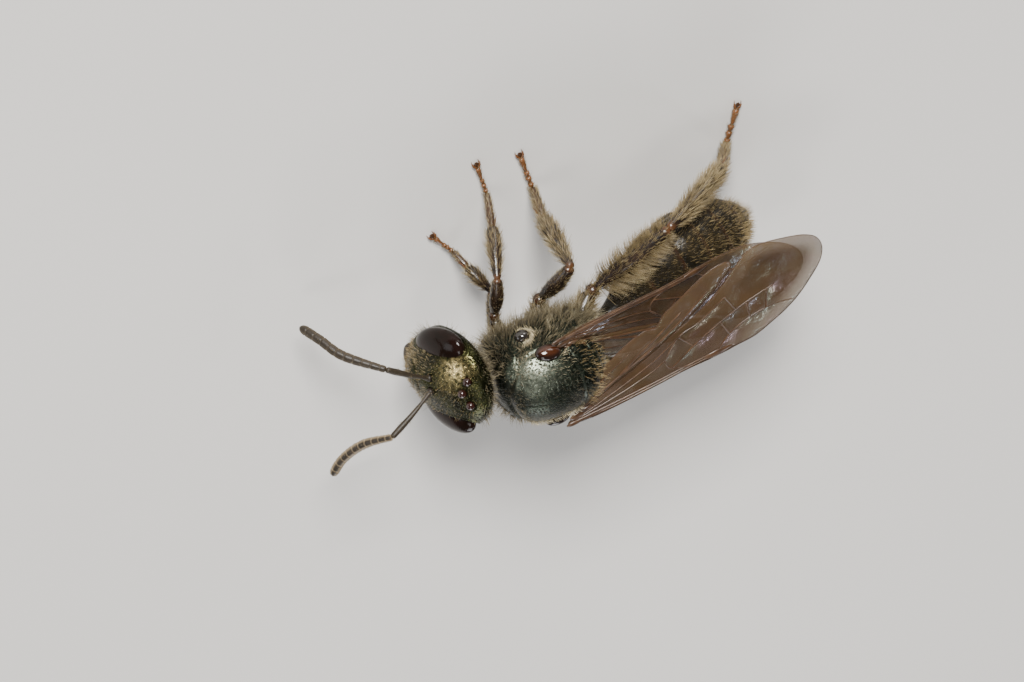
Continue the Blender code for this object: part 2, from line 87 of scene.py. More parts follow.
# Head: centre, directions of its right side and down the face, half sizes along right, down
# and out of the face. Spots on it are given along these three.
HEAD_AT = np.array((-1.621, 0.087, -1.108))
HEAD_TILT = ((0.082, 0.971, -0.226), (-0.413, -0.173, -0.894))
HEAD_HALF = np.array((1.055, 1.095, 0.485))
HEAD_BACK = 0.76
CHIN_TAPER = 0.2
SHIELD_RISE = 0.12
EYE_HALF = np.array((0.395, 0.675, 0.235))
EYE_AT = np.array((0.69, 0.01, 0.14))
EYE_LEAN = np.radians(14.5)
OCELLUS_RADIUS = 0.088
OCELLI = {"median": (0, -0.7, 0.37), "right": (0.26, -0.81, 0.3), "left": (-0.26, -0.81, 0.3)}
SOCKET = np.array((0.135, 0.075, 0.47))
MANDIBLE_KNOTS = [(0.42, 0.8, 0.16), (0.32, 0.96, 0.18), (0.05, 1.05, 0.2)]
MANDIBLE_RADII = (0.12, 0.11, 0.09, 0.07, 0.045)

# Antennae: elbow, then the flagellum out to its tip
ANTENNA = {
    "right": [(-2.88, 0.96, -0.94), (-3.53, 1.21, -1.43),
              (-3.82, 1.41, -1.85), (-4.06, 1.53, -2.24)],
    "left": [(-3.09, -0.44, -0.61), (-3.56, -0.75, -1.01),
             (-3.96, -1.14, -1.23), (-4.22, -1.52, -1.29)],
}
LIMB_HINT = (0.31, 0.12, 0.94)
SCAPE_RADII = (0.06, 0.036, 0.046, 0.056, 0.064, 0.058)
FLAGELLUM_RADIUS = 0.094
FLAGELLUM_BEADS = 10
PEDICEL = 0.13

# Thorax stations along X: x, height of the centre, half width, half height
THORAX = [
    (-1.4, -1.21, 0.19, 0.19), (-1.17, -1.14, 0.22, 0.22), (-1.02, -1.06, 0.34, 0.36),
    (-0.92, -0.84, 0.62, 0.64), (-0.72, -0.65, 0.84, 0.86), (-0.35, -0.56, 0.95, 0.97),
    (0.1, -0.55, 0.98, 1), (0.5, -0.57, 0.94, 0.98), (0.8, -0.63, 0.86, 0.92),
    (1.05, -0.76, 0.72, 0.79), (1.25, -0.93, 0.52, 0.58), (1.38, -1.07, 0.33, 0.36),
    (1.46, -1.14, 0.24, 0.25),
]
THORAX_INSET = 0.03
LOBE_AT = np.array((-0.27, 0.94, -0.55))
LOBE_RADIUS = 0.13
TEGULA_AT = np.array((0.02, 0.86, 0.01))
TEGULA_HALF = (0.255, 0.165, 0.125)
TEGULA_AXES = ((0.98, -0.18, 0.05), (0.13, 0.47, -0.87), (0.14, 0.86, 0.49))

# Abdomen: axis from its start to the tip, half widths along it and where its rings end
ABDOMEN_START = np.array((1.53, 0.05, -1.17))
ABDOMEN_END = np.array((5.05, 0.35, -2.28))
ABDOMEN_WIDTHS = [0.2, 0.34, 0.62, 0.86, 0.99, 1.05, 1.06, 1.03, 0.95, 0.81, 0.58, 0.18]
ABDOMEN_FLATNESS = 0.76
ABDOMEN_INSET = 0.03
SEGMENT_ENDS = [0, 0.27, 0.46, 0.62, 0.76, 0.89, 1]
SEGMENT_STEP = 0.05

# Wings: hinge, direction along the leading edge, direction across it towards the hind edge
WINGS = {
    "left": ((0.05, -0.98, 0.15), (0.993, 0.083, -0.055), (-0.083, 0.996, -0.01)),
    "right": ((0.05, 1.03, 0.02), (0.978, -0.012, -0.205), (-0.02, -0.994, -0.09)),
}
WING_CAMBER = 0.05
WING_LENGTH = 5.8
WING_RIPPLE = 0.01
MEMBRANE_HALF = 0.006
FILM_STEP = 0.085
VEIN_RISE, VEIN_SPREAD = 0.022, 0.09
STRONG_VEIN, FINE_VEIN = (0.03, 0.017), (0.017, 0.01)
FOREWING = [
    (0.12, -0.05), (0.5, -0.09), (1, -0.09), (1.9, -0.05), (2.6, -0.01), (3.2, -0.03),
    (3.75, -0.02), (4.2, 0.02), (4.7, 0.19), (5.14, 0.44), (5.5, 0.74), (5.74, 1.05),
    (5.83, 1.35), (5.76, 1.62), (5.56, 1.81), (5.3, 1.93), (5, 2.02), (4.72, 2.08), (4.45, 2.1),
    (4.2, 1.98), (3.6, 1.47), (2.84, 1.08), (2.1, 0.88), (1.48, 0.7), (0.98, 0.36), (0.5, 0.2),
    (0.12, 0.05),
]
HINDWING = [
    (0.3, 0.16), (0.9, 0.35), (1.92, 0.71), (2.84, 1.13), (3.56, 1.55), (3.95, 1.88),
    (3.92, 2.06), (3.6, 2.05), (3.2, 1.9), (2.8, 1.7), (2.45, 1.52), (2.22, 1.3), (2, 1.36),
    (1.6, 1.24), (1.1, 0.98), (0.7, 0.66), (0.3, 0.26),
]
FOREWING_VEINS = [
    [(0.1, 0), (1, -0.04), (1.9, -0.01), (2.6, 0.03), (3.1, 0.04)],
    [(0.1, 0), (1, 0.02), (1.9, 0.05), (2.8, 0.09), (3.3, 0.08), (3.45, 0.07)],
    [(3.3, 0.08), (3.62, 0.36), (4.1, 0.52), (4.6, 0.55), (5, 0.45)],
    [(0.3, 0.04), (1.2, 0.17), (1.9, 0.32), (2.25, 0.46)],
    [(2.75, 0.08), (2.45, 0.13), (2.27, 0.28), (2.25, 0.46)],
    [(2.25, 0.46), (2.62, 0.86), (3.1, 0.98), (3.7, 1.28)],
    [(2.35, 0.2), (2.9, 0.5), (3.45, 0.72), (4.1, 0.92), (4.7, 1.02)],
    [(3.62, 0.36), (3.5, 0.72)],
    [(4.1, 0.52), (4.08, 0.92)],
    [(4.45, 0.55), (4.55, 0.99)],
    [(2.62, 0.86), (2.85, 0.5)],
    [(3.7, 1.28), (3.85, 0.86)],
    [(0.3, 0.06), (1.2, 0.3), (2, 0.56), (2.62, 0.86)],
]
STIGMA = [(3.02, 0.045), (3.2, 0.05), (3.42, 0.05), (3.62, 0.04)]
STIGMA_RADII = (0.03, 0.065, 0.07, 0.05, 0.02)
WING_PLATES = [(0.22, -0.02, 0.17, 0.055), (0.3, 0.12, 0.15, 0.075), (0.52, 0.2, 0.14, 0.045)]
HINDWING_VEINS = [
    [(0.32, 0.22), (1.2, 0.56), (2.1, 0.9), (2.9, 1.3), (3.4, 1.62)],
    [(1.3, 0.6), (1.75, 0.88), (2.2, 1.1), (2.8, 1.42)],
    [(0.32, 0.24), (1, 0.72), (1.6, 1.02)],
]

# Legs: hip, end of the short upper joints, knee, ankle, then ball and tip of the foot on the floor
LEGS = {
    "fore_right": [(-0.48, 0.3, -1.25), (-0.5, 0.72, -1.5), (-0.34, 1.79, -1.38),
                   (-0.03, 2.28, -2.26), (0.13, 2.58), (0.04, 3.26)],
    "mid_right": [(0.28, 0.35, -1.3), (0.4, 0.8, -1.46), (1, 1.82, -0.96),
                  (0.96, 2.12, -2.22), (1.03, 2.32), (0.91, 3.13)],
    "hind_right": [(0.98, 0.35, -1.05), (1.38, 0.74, -1.26), (3.06, 1.8, -1.06),
                   (4.57, 1.94, -2), (4.98, 1.68), (5.3, 2.45)],
    "fore_left": [(-0.5, -0.4, -1.25), (-0.5, -0.28, -1.86), (-0.3, 0.86, -2.1),
                  (-0.58, 1.26, -2.52), (-0.72, 1.46), (-1.02, 1.92)],
    "mid_left": [(0.28, -0.35, -1.3), (0.36, -0.82, -1.44), (0.6, -1.72, -1.02),
                 (0.78, -2.24, -2.14), (0.86, -2.5), (0.95, -3.22)],
    "hind_left": [(0.92, -0.4, -1.1), (1.16, -0.84, -1.3), (2.02, -1.92, -1.22),
                  (2.4, -2.66, -2.18), (2.5, -3.02), (2.63, -3.78)],
}
BALL_RISE, TIP_RISE = 0.095, 0.062
TOE_CUTS = (0, 20, 38, 54, 96)
LEG_SIZE = {"fore": 0.84, "mid": 1, "hind": 1.08}
LEG_RADII = {
    "coxa": (0.2, 0.19, 0.16, 0.12), "trochanter": (0.09, 0.125, 0.12, 0.09),
    "femur": (0.085, 0.14, 0.165, 0.16, 0.135, 0.105),
    "tibia": (0.085, 0.11, 0.14, 0.158, 0.155, 0.125),
    "basitarsus": (0.07, 0.085, 0.085, 0.08, 0.07), "toe": (0.03, 0.042, 0.056, 0.058),
}

# Hair of the legs: density, length and lift by part, and by pair its share of both. The brush
# on the hind thigh stands towards BRUSH on its outer side.
LEG_HAIR = {"coxa": (500, 0.2, 0.8), "trochanter": (550, 0.18, 0.7), "femur": (520, 0.12, 0.55),
            "tibia": (920, 0.22, 0.66), "basitarsus": (1100, 0.14, 0.5)}
LEG_HAIR_SHARES = {"fore": (0.75, 0.8), "mid": (1, 1), "hind": (1.05, 1.15)}
BRUSH = np.array((-0.47, 0.565, -0.676))
BRUSH_DENSITY = 1150

# Coats: seed, slot and look of each
COAT_KINDS = {
    "bronze": (11, "green_shell", "bronze"), "cream": (12, "green_shell", "cream"),
    "gold": (13, "dark_shell", "gold"), "silver": (15, "dark_shell", "silver"),
    "face": (14, "green_shell", "fleece"), "pearl": (16, "green_shell", "pearl"),
    "fine": (17, "horn", "silver"), "legs_right": (18, "leg", "fleece"),
    "legs_left": (19, "leg", "fleece"),
}

# Hair colours at the root, in the middle and at the tip; the dark roots are painted shade, standing
# for the coat's shadow on itself
HAIR_COLOURS = {
    "bronze": ((0.016, 0.013, 0.007), (0.105, 0.086, 0.048), (0.38, 0.33, 0.21)),
    "cream": ((0.018, 0.014, 0.008), (0.2, 0.165, 0.098), (0.8, 0.71, 0.49)),
    "gold": ((0.026, 0.016, 0.006), (0.27, 0.195, 0.085), (0.76, 0.61, 0.34)),
    "silver": ((0.018, 0.012, 0.006), (0.22, 0.16, 0.07), (0.88, 0.72, 0.38)),
    "pearl": ((0.2, 0.16, 0.09), (0.6, 0.51, 0.32), (0.82, 0.74, 0.54)),
    "fleece": ((0.016, 0.01, 0.005), (0.23, 0.17, 0.078), (0.88, 0.74, 0.42)),
}

# Camera: the photo's own axes (right, up, towards the camera) and its framing
VIEW = np.array(((0.9223, -0.12, 0.3674), (0.3357, 0.72, -0.6074), (-0.1917, 0.6835, 0.7044)))
PIXELS_PER_MM = 53
IMAGE_WIDTH = 1024
AIM_RIGHT, AIM_UP = -0.755, 0.84
LENS, SENSOR = 200, 36

# Lights: direction in the photo's axes, distance, size, power, colour
LIGHTS = {
    "key": ((0.02, 0.26, 0.96), 0.34, 0.1, 2.9, (1, 0.975, 0.94)),
    "top": ((0.3, 0.8, 0.45), 0.36, 0.16, 0.9, (1, 0.98, 0.95)),
    "side": ((-0.9, -0.35, 0.35), 0.38, 0.2, 0.35, (0.95, 0.97, 1)),
    "rim": ((-0.1, -0.84, 0.54), 0.36, 0.1, 0.3, (1, 0.98, 0.95)),
    "left": ((0.04, -0.97, -0.22), 0.38, 0.2, 1, (0.98, 0.98, 1)),
    "wing": ((0.65, -0.67, -0.22), 0.36, 0.03, 0.11, (1, 0.98, 1)),
}
SKY_COLOUR, SKY_STRENGTH = (0.86, 0.88, 0.92), 0.2
FLOOR_HALF, FLOOR_DROP = 1.5, 0.000002


def unit(rows):
    rows = np.asarray(rows, float)
    return rows / np.maximum(1e-12, np.linalg.norm(rows, axis=-1, keepdims=True))


def norm(rows):
    return np.linalg.norm(rows, axis=-1)


def coords(points):
    return np.moveaxis(points, -1, 0)


def even(count):
    return np.linspace(0, 1, count)


HEAD_RIGHT, HEAD_DOWN = unit(HEAD_TILT)
HEAD_OUT = unit(np.cross(HEAD_RIGHT, HEAD_DOWN))
HEAD_AXES = np.array((HEAD_RIGHT, HEAD_DOWN, HEAD_OUT))


def head_point(spot):
    right, down, out = spot
    return HEAD_AT + HEAD_RIGHT * right + HEAD_DOWN * down + HEAD_OUT * out


SHIFT = head_point(OCELLI["median"]) - np.mean(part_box("ocellus_median"), axis=0) / MM


def world(points):
    return (np.asarray(points, float) - SHIFT) * MM


def ease(low, high, value):
    """Smooth step from 0 at low to 1 at high."""
    t = np.clip((np.asarray(value, float) - low) / (high - low), 0, 1)
    return t * t * (3 - 2 * t)


def bump(distance, width):
    return np.exp(-(np.asarray(distance, float) / width) ** 2)


def oval(x, x_at, wide, y, y_at, high):
    """1 at a spot, fading over an oval round it."""
    return bump(np.hypot((x - x_at) / wide, (y - y_at) / high), 1)


def relief_of(forms):
    """Sum of ridges and grooves, each with its height, distance from its line, width and share."""
    return sum(height * bump(away, width) * share for height, away, width, share in forms)


def spline(rows, count):
    """Catmull-Rom curve through the rows, read at count even steps."""
    rows = np.asarray(rows, float)
    place = np.linspace(0, len(rows) - 1, count)
    at = np.minimum(place.astype(int), len(rows) - 2)
    t = (place - at)[:, None]
    a, b, c, d = (rows[np.clip(at + k, 0, len(rows) - 1)] for k in (-1, 0, 1, 2))
    return 0.5 * (2 * b + (c - a) * t + (2 * a - 5 * b + 4 * c - d) * t ** 2
                  + (3 * b - a - 3 * c + d) * t ** 3)


def read_along(values, share, count=101):
    """Smooth curve through evenly spaced values, read at shares of its length."""
    curve = spline(np.reshape(values, (-1, 1)), count)[:, 0]
    return np.interp(share, even(count), curve)


# Rings

def turns(sides, start=0.5):
    return 2 * np.pi * (np.arange(sides) + start) / sides


def hoops(centres, side, up, wides, highs, turn):
    """An ellipse of points round each centre."""
    return (centres[:, None] + side[:, None] * (np.cos(turn)[:, None] * wides[:, None, None])
            + up[:, None] * (np.sin(turn)[:, None] * highs[:, None, None]))


def ring_path(path, wides, highs, hint, sides):
    """Rings of an ellipse along a path, wide along the hint direction."""
    ahead = unit(np.gradient(path, axis=0))
    side = unit(hint - ahead * (ahead @ hint)[:, None])
    return hoops(path, side, np.cross(ahead, side), wides, highs, turns(sides))


def run_of(path):
    return np.append(0, np.cumsum(norm(np.diff(path, axis=0))))


def domed(wide, run, start_dome, end_dome):
    """Radii that close round both ends over the dome lengths."""
    for reach, dome in ((run, start_dome), (run[-1] - run, end_dome)):
        if dome > 0:
            share = 1 - np.minimum(reach / dome, 1)
            wide = wide * np.sqrt(np.clip(1 - share ** 2, 0.02, 1))
    return wide


def limb_rings(knots, radii, count, sides, hint=LIMB_HINT, flat=1, start_dome=0, end_dome=0):
    """Rings of a limb through its knots, its radii read evenly along it, with rounded ends."""
    path = spline(knots, count)
    run = run_of(path)
    wide = domed(read_along(radii, run / run[-1]), run, start_dome, end_dome)
    return ring_path(path, wide, wide * flat, hint, sides)


def ellipsoid_rings(centre, half, axes, count, sides):
    lean = np.pi * (0.02 + 0.96 * even(count))[:, None]
    turn = turns(sides, 0)
    spots = np.stack([np.sin(lean) * np.cos(turn), np.cos(lean) + 0 * turn,
                      np.sin(lean) * np.sin(turn)], -1)
    return centre + (spots * half) @ np.asarray(axes)


def ring_normals(rings):
    """Outward normals of a ring body."""
    around = np.roll(rings, -1, axis=1) - np.roll(rings, 1, axis=1)
    normal = unit(np.cross(around, np.gradient(rings, axis=0)))
    out = rings - rings.mean(axis=1, keepdims=True)
    return -normal if np.einsum("ijk,ijk->ij", normal, out).mean() < 0 else normal


def ring_quads(count, sides):
    """Numbers of the four points of each quad between rings."""
    i, j = np.meshgrid(np.arange(count - 1), np.arange(sides), indexing="ij")
    low, high, n = i * sides, (i + 1) * sides, (j + 1) % sides
    return np.stack([low + j, low + n, high + n, high + j], -1).reshape(-1, 4)


class Skin:
    """Rings with their normals, their lengthwise direction and their part of the UV map."""

    def __init__(self, rings, patch):
        self.rings, self.patch = rings, patch
        self.normals, self.ahead = ring_normals(rings), unit(np.gradient(rings, axis=0))


# Meshes

def outwards(verts, quads, tris):
    """Points, quads and triangles of a closed body, turned so that its faces look outwards."""
    a, b, c = (verts - verts.mean(0))[np.concatenate([quads[:, :3], quads[:, [0, 2, 3]], tris]).T]
    if np.einsum("ij,ij->i", a, np.cross(b, c)).sum() < 0:
        quads, tris = quads[:, ::-1], tris[:, ::-1]
    return verts, quads, tris


def closed_body(rings):
    """A body made of rings, closed on a point at each end."""
    count, sides = rings.shape[:2]
    verts = np.concatenate([rings.reshape(-1, 3), [rings[0].mean(0)], [rings[-1].mean(0)]])
    k, total = np.arange(sides), np.full(sides, count * sides)
    m, low = (k + 1) % sides, (count - 1) * sides
    tris = [np.stack([total, m, k], -1), np.stack([total + 1, low + k, low + m], -1)]
    return outwards(verts, ring_quads(count, sides), np.concatenate(tris))


def new_mesh(name, verts, quads, tris, tone):
    """A smooth mesh from points in millimetres."""
    mesh = bpy.data.meshes.new(name)
    corners = np.append(quads, tris)
    starts = np.append(np.arange(len(quads)) * 4, len(quads) * 4 + np.arange(len(tris)) * 3)
    mesh.vertices.add(len(verts))
    mesh.vertices.foreach_set("co", world(verts).astype(np.float32).ravel())
    for rows, key, values in ((mesh.loops, "vertex_index", corners),
                              (mesh.polygons, "loop_start", starts)):
        rows.add(len(values))
        rows.foreach_set(key, values.astype(np.int32))
    mesh.update(calc_edges=True)
    kept = mesh.attributes.new("tone", "FLOAT", "POINT")
    kept.data.foreach_set("value", tone.astype(np.float32))
    mesh.shade_smooth()
    return mesh


def link(name, data):
    made = bpy.data.objects.new(name, data)
    bpy.context.scene.collection.objects.link(made)
    return made


def place(name, mesh, slot, looks, nodes=()):
    for look in looks.split():
        mesh.materials.append(LOOKS[look])
    piece = link(name, mesh)
    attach(piece, "root")
    if nodes:
        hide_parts(*nodes)


class Build:
    """Collects closed bodies that become one piece. A mark is the number of a body's look."""

    def __init__(self):
        self.parts, self.size = [], 0

    def add(self, rings, mark=0, tone=0, ends=None):
        """Adds a ring body, its tone given for the whole, each ring or each point."""
        tone = np.broadcast_to(tone, rings.shape[:2])
        ends = (tone[0, 0], tone[-1, 0]) if ends is None else (ends, ends)
        self.add_body(closed_body(rings), mark, np.append(tone.ravel(), ends))

    def add_body(self, body, mark, tone):
        verts, quads, tris = body
        self.parts.append((verts, quads + self.size, tris + self.size, tone,
                           np.full(len(quads), mark), np.full(len(tris), mark)))
        self.size += len(verts)

    def finish(self, name, slot, looks, *nodes):
        verts, quads, tris, tone, *marks = (np.concatenate(rows) for rows in zip(*self.parts))
        mesh = new_mesh(name, verts, quads, tris, tone)
        mesh.polygons.foreach_set("material_index", np.concatenate(marks).astype(np.int32))
        place(name, mesh, slot, looks, nodes)


def solid(name, slot, look, rings, *nodes, tone=0):
    """A piece made of one ring body."""
    build = Build()
    build.add(rings, tone=tone)
    build.finish(name, slot, look, *nodes)


# Materials

class Look:
    """A material whose values are numbers, colours or outputs of other nodes."""

    def __init__(self, name):
        self.made = bpy.data.materials.new(name)
        self.made.use_nodes = True
        self.tree = self.made.node_tree
        self.under = {}

    def put(self, node, values):
        for key, value in values.items():
            if isinstance(value, bpy.types.NodeSocket):
                self.tree.links.new(value, node.inputs[key])
            else:
                node.inputs[key].default_value = (*value, 1) if isinstance(value, tuple) else value

    def add(self, kind, values=(), **settings):
        """Adds a node, sets its properties, then its inputs by name or number."""
        node = self.tree.nodes.new("ShaderNode" + kind)
        for key, value in settings.items():
            setattr(node, key, value)
        self.put(node, dict(values))
        return node

    def texture(self, kind, scale, **values):
        """A texture over the object, its scale given in features for each millimetre."""
        spot = self.add("TexCoord").outputs["Object"]
        return self.add(kind, {"Vector": spot, "Scale": scale / MM, **values}).outputs

    def noise(self, scale, detail=3):
        return self.texture("TexNoise", scale, Detail=detail, Roughness=0.55)["Fac"]

    def cells(self, scale, randomness=1):
        return self.texture("TexVoronoi", scale, Randomness=randomness)["Distance"]

    def tone(self):
        return self.add("Attribute", attribute_name="tone").outputs["Fac"]

    def ramp(self, source, *stops):
        """Colours read along a source value; stops are (place, colour)."""
        node = self.add("ValToRGB", {"Fac": source})
        line = node.color_ramp
        while len(line.elements) < len(stops):
            line.elements.new(0.5)
        for element, (spot, colour) in zip(line.elements, stops):
            element.position, element.color = spot, (*colour, 1)
        return node.outputs["Color"]

    def span(self, source, low, high, new_low=0, new_high=1):
        return self.add("MapRange", {"Value": source, "From Min": low, "From Max": high,
                                     "To Min": new_low, "To Max": new_high}).outputs["Result"]

    def blend(self, share, first, second):
        return self.add("Mix", {"Factor": share, 6: first, 7: second}, data_type="RGBA").outputs[2]

    def relief(self, height, depth, strength):
        """Bump of a depth in millimetres, laid over the ones made before."""
        values = {"Height": height, "Strength": strength, "Distance": depth * MM}
        self.under = {"Normal": self.add("Bump", {**values, **self.under}).outputs["Normal"]}

    def finish(self, colour, roughness, shine=0.5, values=()):
        self.put(self.tree.nodes["Principled BSDF"],
                 {"Base Color": colour, "Roughness": roughness, "Specular IOR Level": shine,
                  **dict(values), **self.under})
        return self.made


def shell(name, dark, light, glow, roughness, metallic, pits, pit_depth, shine=0.5, spark=0.5):
    """Pitted shell: two greens or browns in drifts, and a third colour where tone is high, in
    specks: a painted highlight on the head, a painted sheen on the thorax, and the segment rims on
    the abdomen.
    """
    look = Look(name)
    drift = look.ramp(look.noise(2.6), (0.35, dark), (0.65, light))
    specks = look.span(look.noise(13, 2), 0.38, 0.6, 1 - spark, 1 + 0.4 * spark)
    share = look.add("Math", {0: look.tone(), 1: specks}, operation="MULTIPLY").outputs[0]
    rough = look.span(look.noise(9), 0.3, 0.7, roughness - 0.06, roughness + 0.08)
    look.relief(look.span(look.cells(pits), 0.05, 0.45), pit_depth, 0.9)
    look.relief(look.noise(pits * 2.3, 2), pit_depth * 0.25, 0.5)
    return look.finish(look.blend(share, drift, glow), rough, shine, {"Metallic": metallic})


def gloss(name, dark, light, roughness, shine, facets=0):
    look = Look(name)
    if facets:
        look.relief(look.span(look.cells(facets, 0.25), 0, 0.5, 1, 0), 0.003, 0.35)
    return look.finish(look.ramp(look.noise(3), (0.3, dark), (0.7, light)), roughness, shine)


def limb(name, dark, light, warm, roughness, shine=0.5):
    """Horny limb, warmer in colour where tone is high: at the joints and feet of the legs, on the
    antennae's pale rings and painted rim light, and as a painted glint on the tegulae.
    """
    look = Look(name)
    drift = look.ramp(look.noise(5), (0.35, dark), (0.65, light))
    look.relief(look.noise(45, 2), 0.004, 0.6)
    return look.finish(look.blend(look.tone(), drift, warm), roughness, shine)


def hair(name, root, middle, tip):
    look = Look(name)
    # Painted shade: darker towards the root of each hair, where tone is low
    along = look.ramp(look.tone(), (0, root), (0.45, middle), (1, tip))
    shade = look.blend(look.span(look.noise(7), 0.35, 0.7), along, middle)
    return look.finish(shade, 0.42, 0.55)


def wing_film():
    """Smoky film, paler where tone is high, with thin-film colours and fine wrinkles."""
    look = Look("wing")
    smoke = look.ramp(look.noise(1.1, 4), (0.3, (0.026, 0.013, 0.005)),
                      (0.7, (0.056, 0.029, 0.012)))
    look.relief(look.noise(3), 0.03, 0.6)
    look.relief(look.cells(26), 0.004, 0.35)
    return look.finish(look.blend(look.tone(), smoke, (0.12, 0.078, 0.042)), 0.19, values={
        "Alpha": look.span(look.tone(), 0, 1, 0.82, 0.55), "IOR": 1.55, "Thin Film IOR": 1.5,
        "Thin Film Thickness": look.span(look.noise(0.9, 2), 0.3, 0.7, 260, 520)})


def plain(name, scale, dark, light, roughness, grain=0):
    """Two colours in drifts."""
    look = Look(name)
    if grain:
        look.relief(look.noise(grain), 0.003, 0.5)
    return look.finish(look.ramp(look.noise(scale), (0.3, dark), (0.7, light)), roughness)


LOOKS = {
    # The third colour of green is the painted highlight of the head; that of dorsum is the painted
    # sheen of the thorax
    "green": shell("green_shell", (0.008, 0.009, 0.003), (0.03, 0.032, 0.01), (0.64, 0.5, 0.22),
                   0.21, 0.9, 20, 0.036, spark=0.95),
    "dorsum": shell("thorax_shell", (0.005, 0.007, 0.004), (0.015, 0.02, 0.012), (0.26, 0.29, 0.22),
                    0.32, 0.85, 22, 0.02),
    "black": shell("abdomen_shell", (0.006, 0.005, 0.003), (0.016, 0.012, 0.006),
                   (0.034, 0.015, 0.007), 0.28, 0, 34, 0.01, 0.14),
    "eye": gloss("eye", (0.004, 0.002, 0.001), (0.01, 0.004, 0.003), 0.1, 0.16, 34),
    "ocellus": gloss("ocellus", (0.01, 0.003, 0.002), (0.024, 0.006, 0.004), 0.06, 0.55),
    "lobe": gloss("lobe", (0.006, 0.005, 0.004), (0.016, 0.012, 0.009), 0.1, 0.8),
    # The warm colour of amber is a painted glint on the tegulae
    "amber": limb("amber", (0.005, 0.002, 0.001), (0.012, 0.004, 0.002), (0.036, 0.01, 0.003),
                  0.12),
    "horn": limb("horn", (0.006, 0.005, 0.004), (0.014, 0.011, 0.009), (0.33, 0.25, 0.15), 0.4,
                 0.22),
    "limb": limb("limb", (0.006, 0.004, 0.003), (0.02, 0.011, 0.006), (0.15, 0.06, 0.02), 0.24),
    "wing": wing_film(),
    "vein": plain("vein", 4, (0.03, 0.015, 0.008), (0.075, 0.038, 0.018), 0.28, 30),
    "floor": plain("floor", 0.05, (0.6, 0.585, 0.56), (0.64, 0.625, 0.6), 0.75),
    **{name: hair("hair_" + name, *colours) for name, colours in HAIR_COLOURS.items()},
}


# Hair

def cell_of(spots, size):
    """Number of the small cube that each spot lies in."""
    cell = np.floor(spots / size).astype(int) * CELL_PRIMES
    return np.abs(cell[:, 0] ^ cell[:, 1] ^ cell[:, 2]) % TUFT_NUMBERS


class Coat:
    """Hairs gathered from several skins and then made into one mesh."""

    def __init__(self, seed, slot, look):
        self.rng = np.random.default_rng(seed)
        self.tufts = self.rng.random(TUFT_NUMBERS)
        self.slot, self.look, self.rows = slot, look, []

    def finish(self, name):
        rows = [np.concatenate(column) for column in zip(*self.rows)]
        order = self.rng.permutation(len(rows[0]))
        place(name, hair_mesh(name, *(row[order] for row in rows)), self.slot, self.look)


COATS = {name: Coat(*kind) for name, kind in COAT_KINDS.items()}


def along_hair(root, head, curl, tall, share):
    """Points at a share of the length of curved hairs."""
    return root + (head * share + curl * share * share * 0.5) * tall[:, None]


def grow(coat, skin, density, length, direction, bend, radius, ragged=0.4, jitter=0.16,
         clump=0, sink=0.02):
    """Sets hairs on a skin. Density, in hairs for each square millimetre, length, direction and
    bend are given for the whole skin or for each of its points."""
    coat = COATS[coat]
    rng = coat.rng
    count, sides = skin.rings.shape[:2]
    quads = ring_quads(count, sides)
    a, b, _, d = skin.rings.reshape(-1, 3)[quads.T]
    density = np.broadcast_to(density, (count, sides)).ravel()
    weight = norm(np.cross(b - a, d - a)) * sum(density[corner] for corner in quads.T) / 4
    total = int(round(weight.sum()))
    picked = quads[rng.choice(len(weight), total, p=weight / weight.sum())].T
    a, b = rng.random(total), rng.random(total)
    shares = np.array([(1 - a) * (1 - b), a * (1 - b), a * b, (1 - a) * b])[..., None]

    def read(field):
        field = np.broadcast_to(field, (count, sides, np.shape(field)[-1]))
        field = field.reshape(count * sides, -1)
        return sum(field[corner] * share for corner, share in zip(picked, shares))

    root, normal = read(skin.rings), unit(read(skin.normals))
    head, curl = unit(read(direction)), read(bend)
    if clump > 0:
        cell = cell_of(root, CLUMP_CELL)
        lean = rng.normal(size=(TUFT_NUMBERS, 3)) * clump
        head, curl = head + lean[cell], curl + lean[(cell + CURL_SHIFT) % TUFT_NUMBERS]
    head = unit(head + rng.normal(size=(total, 3)) * jitter)
    into = np.minimum(0, np.einsum("ij,ij->i", head, normal) - LEAST_LEAN)
    head = unit(head - normal * into[:, None])
    tall = read(np.asarray(length)[..., None])[:, 0] * (1 - ragged * rng.random(total) * 1.6)
    u0, v0, u1, v1 = skin.patch
    around = (picked[0] % sides + a) / sides
    along = (picked[0] // sides + b) / (count - 1)
    spots = np.stack([u0 + (u1 - u0) * around, v0 + (v1 - v0) * along], -1)
    thick = radius * (0.75 + 0.5 * rng.random(total))
    root = root - normal * sink
    tip = along_hair(root, head, curl, tall, 1)
    keep = (tall > LEAST_LENGTH) & (np.minimum(tip, root)[:, 2] > FLOOR + LEAST_GAP)
    glow = 0.3 + 0.7 * coat.tufts[cell_of(root, TUFT_CELL)]
    glow = glow * (0.8 + 0.2 * rng.random(total))
    coat.rows.append([row[keep] for row in (root, head, curl, tall + sink, thick, spots, glow)])


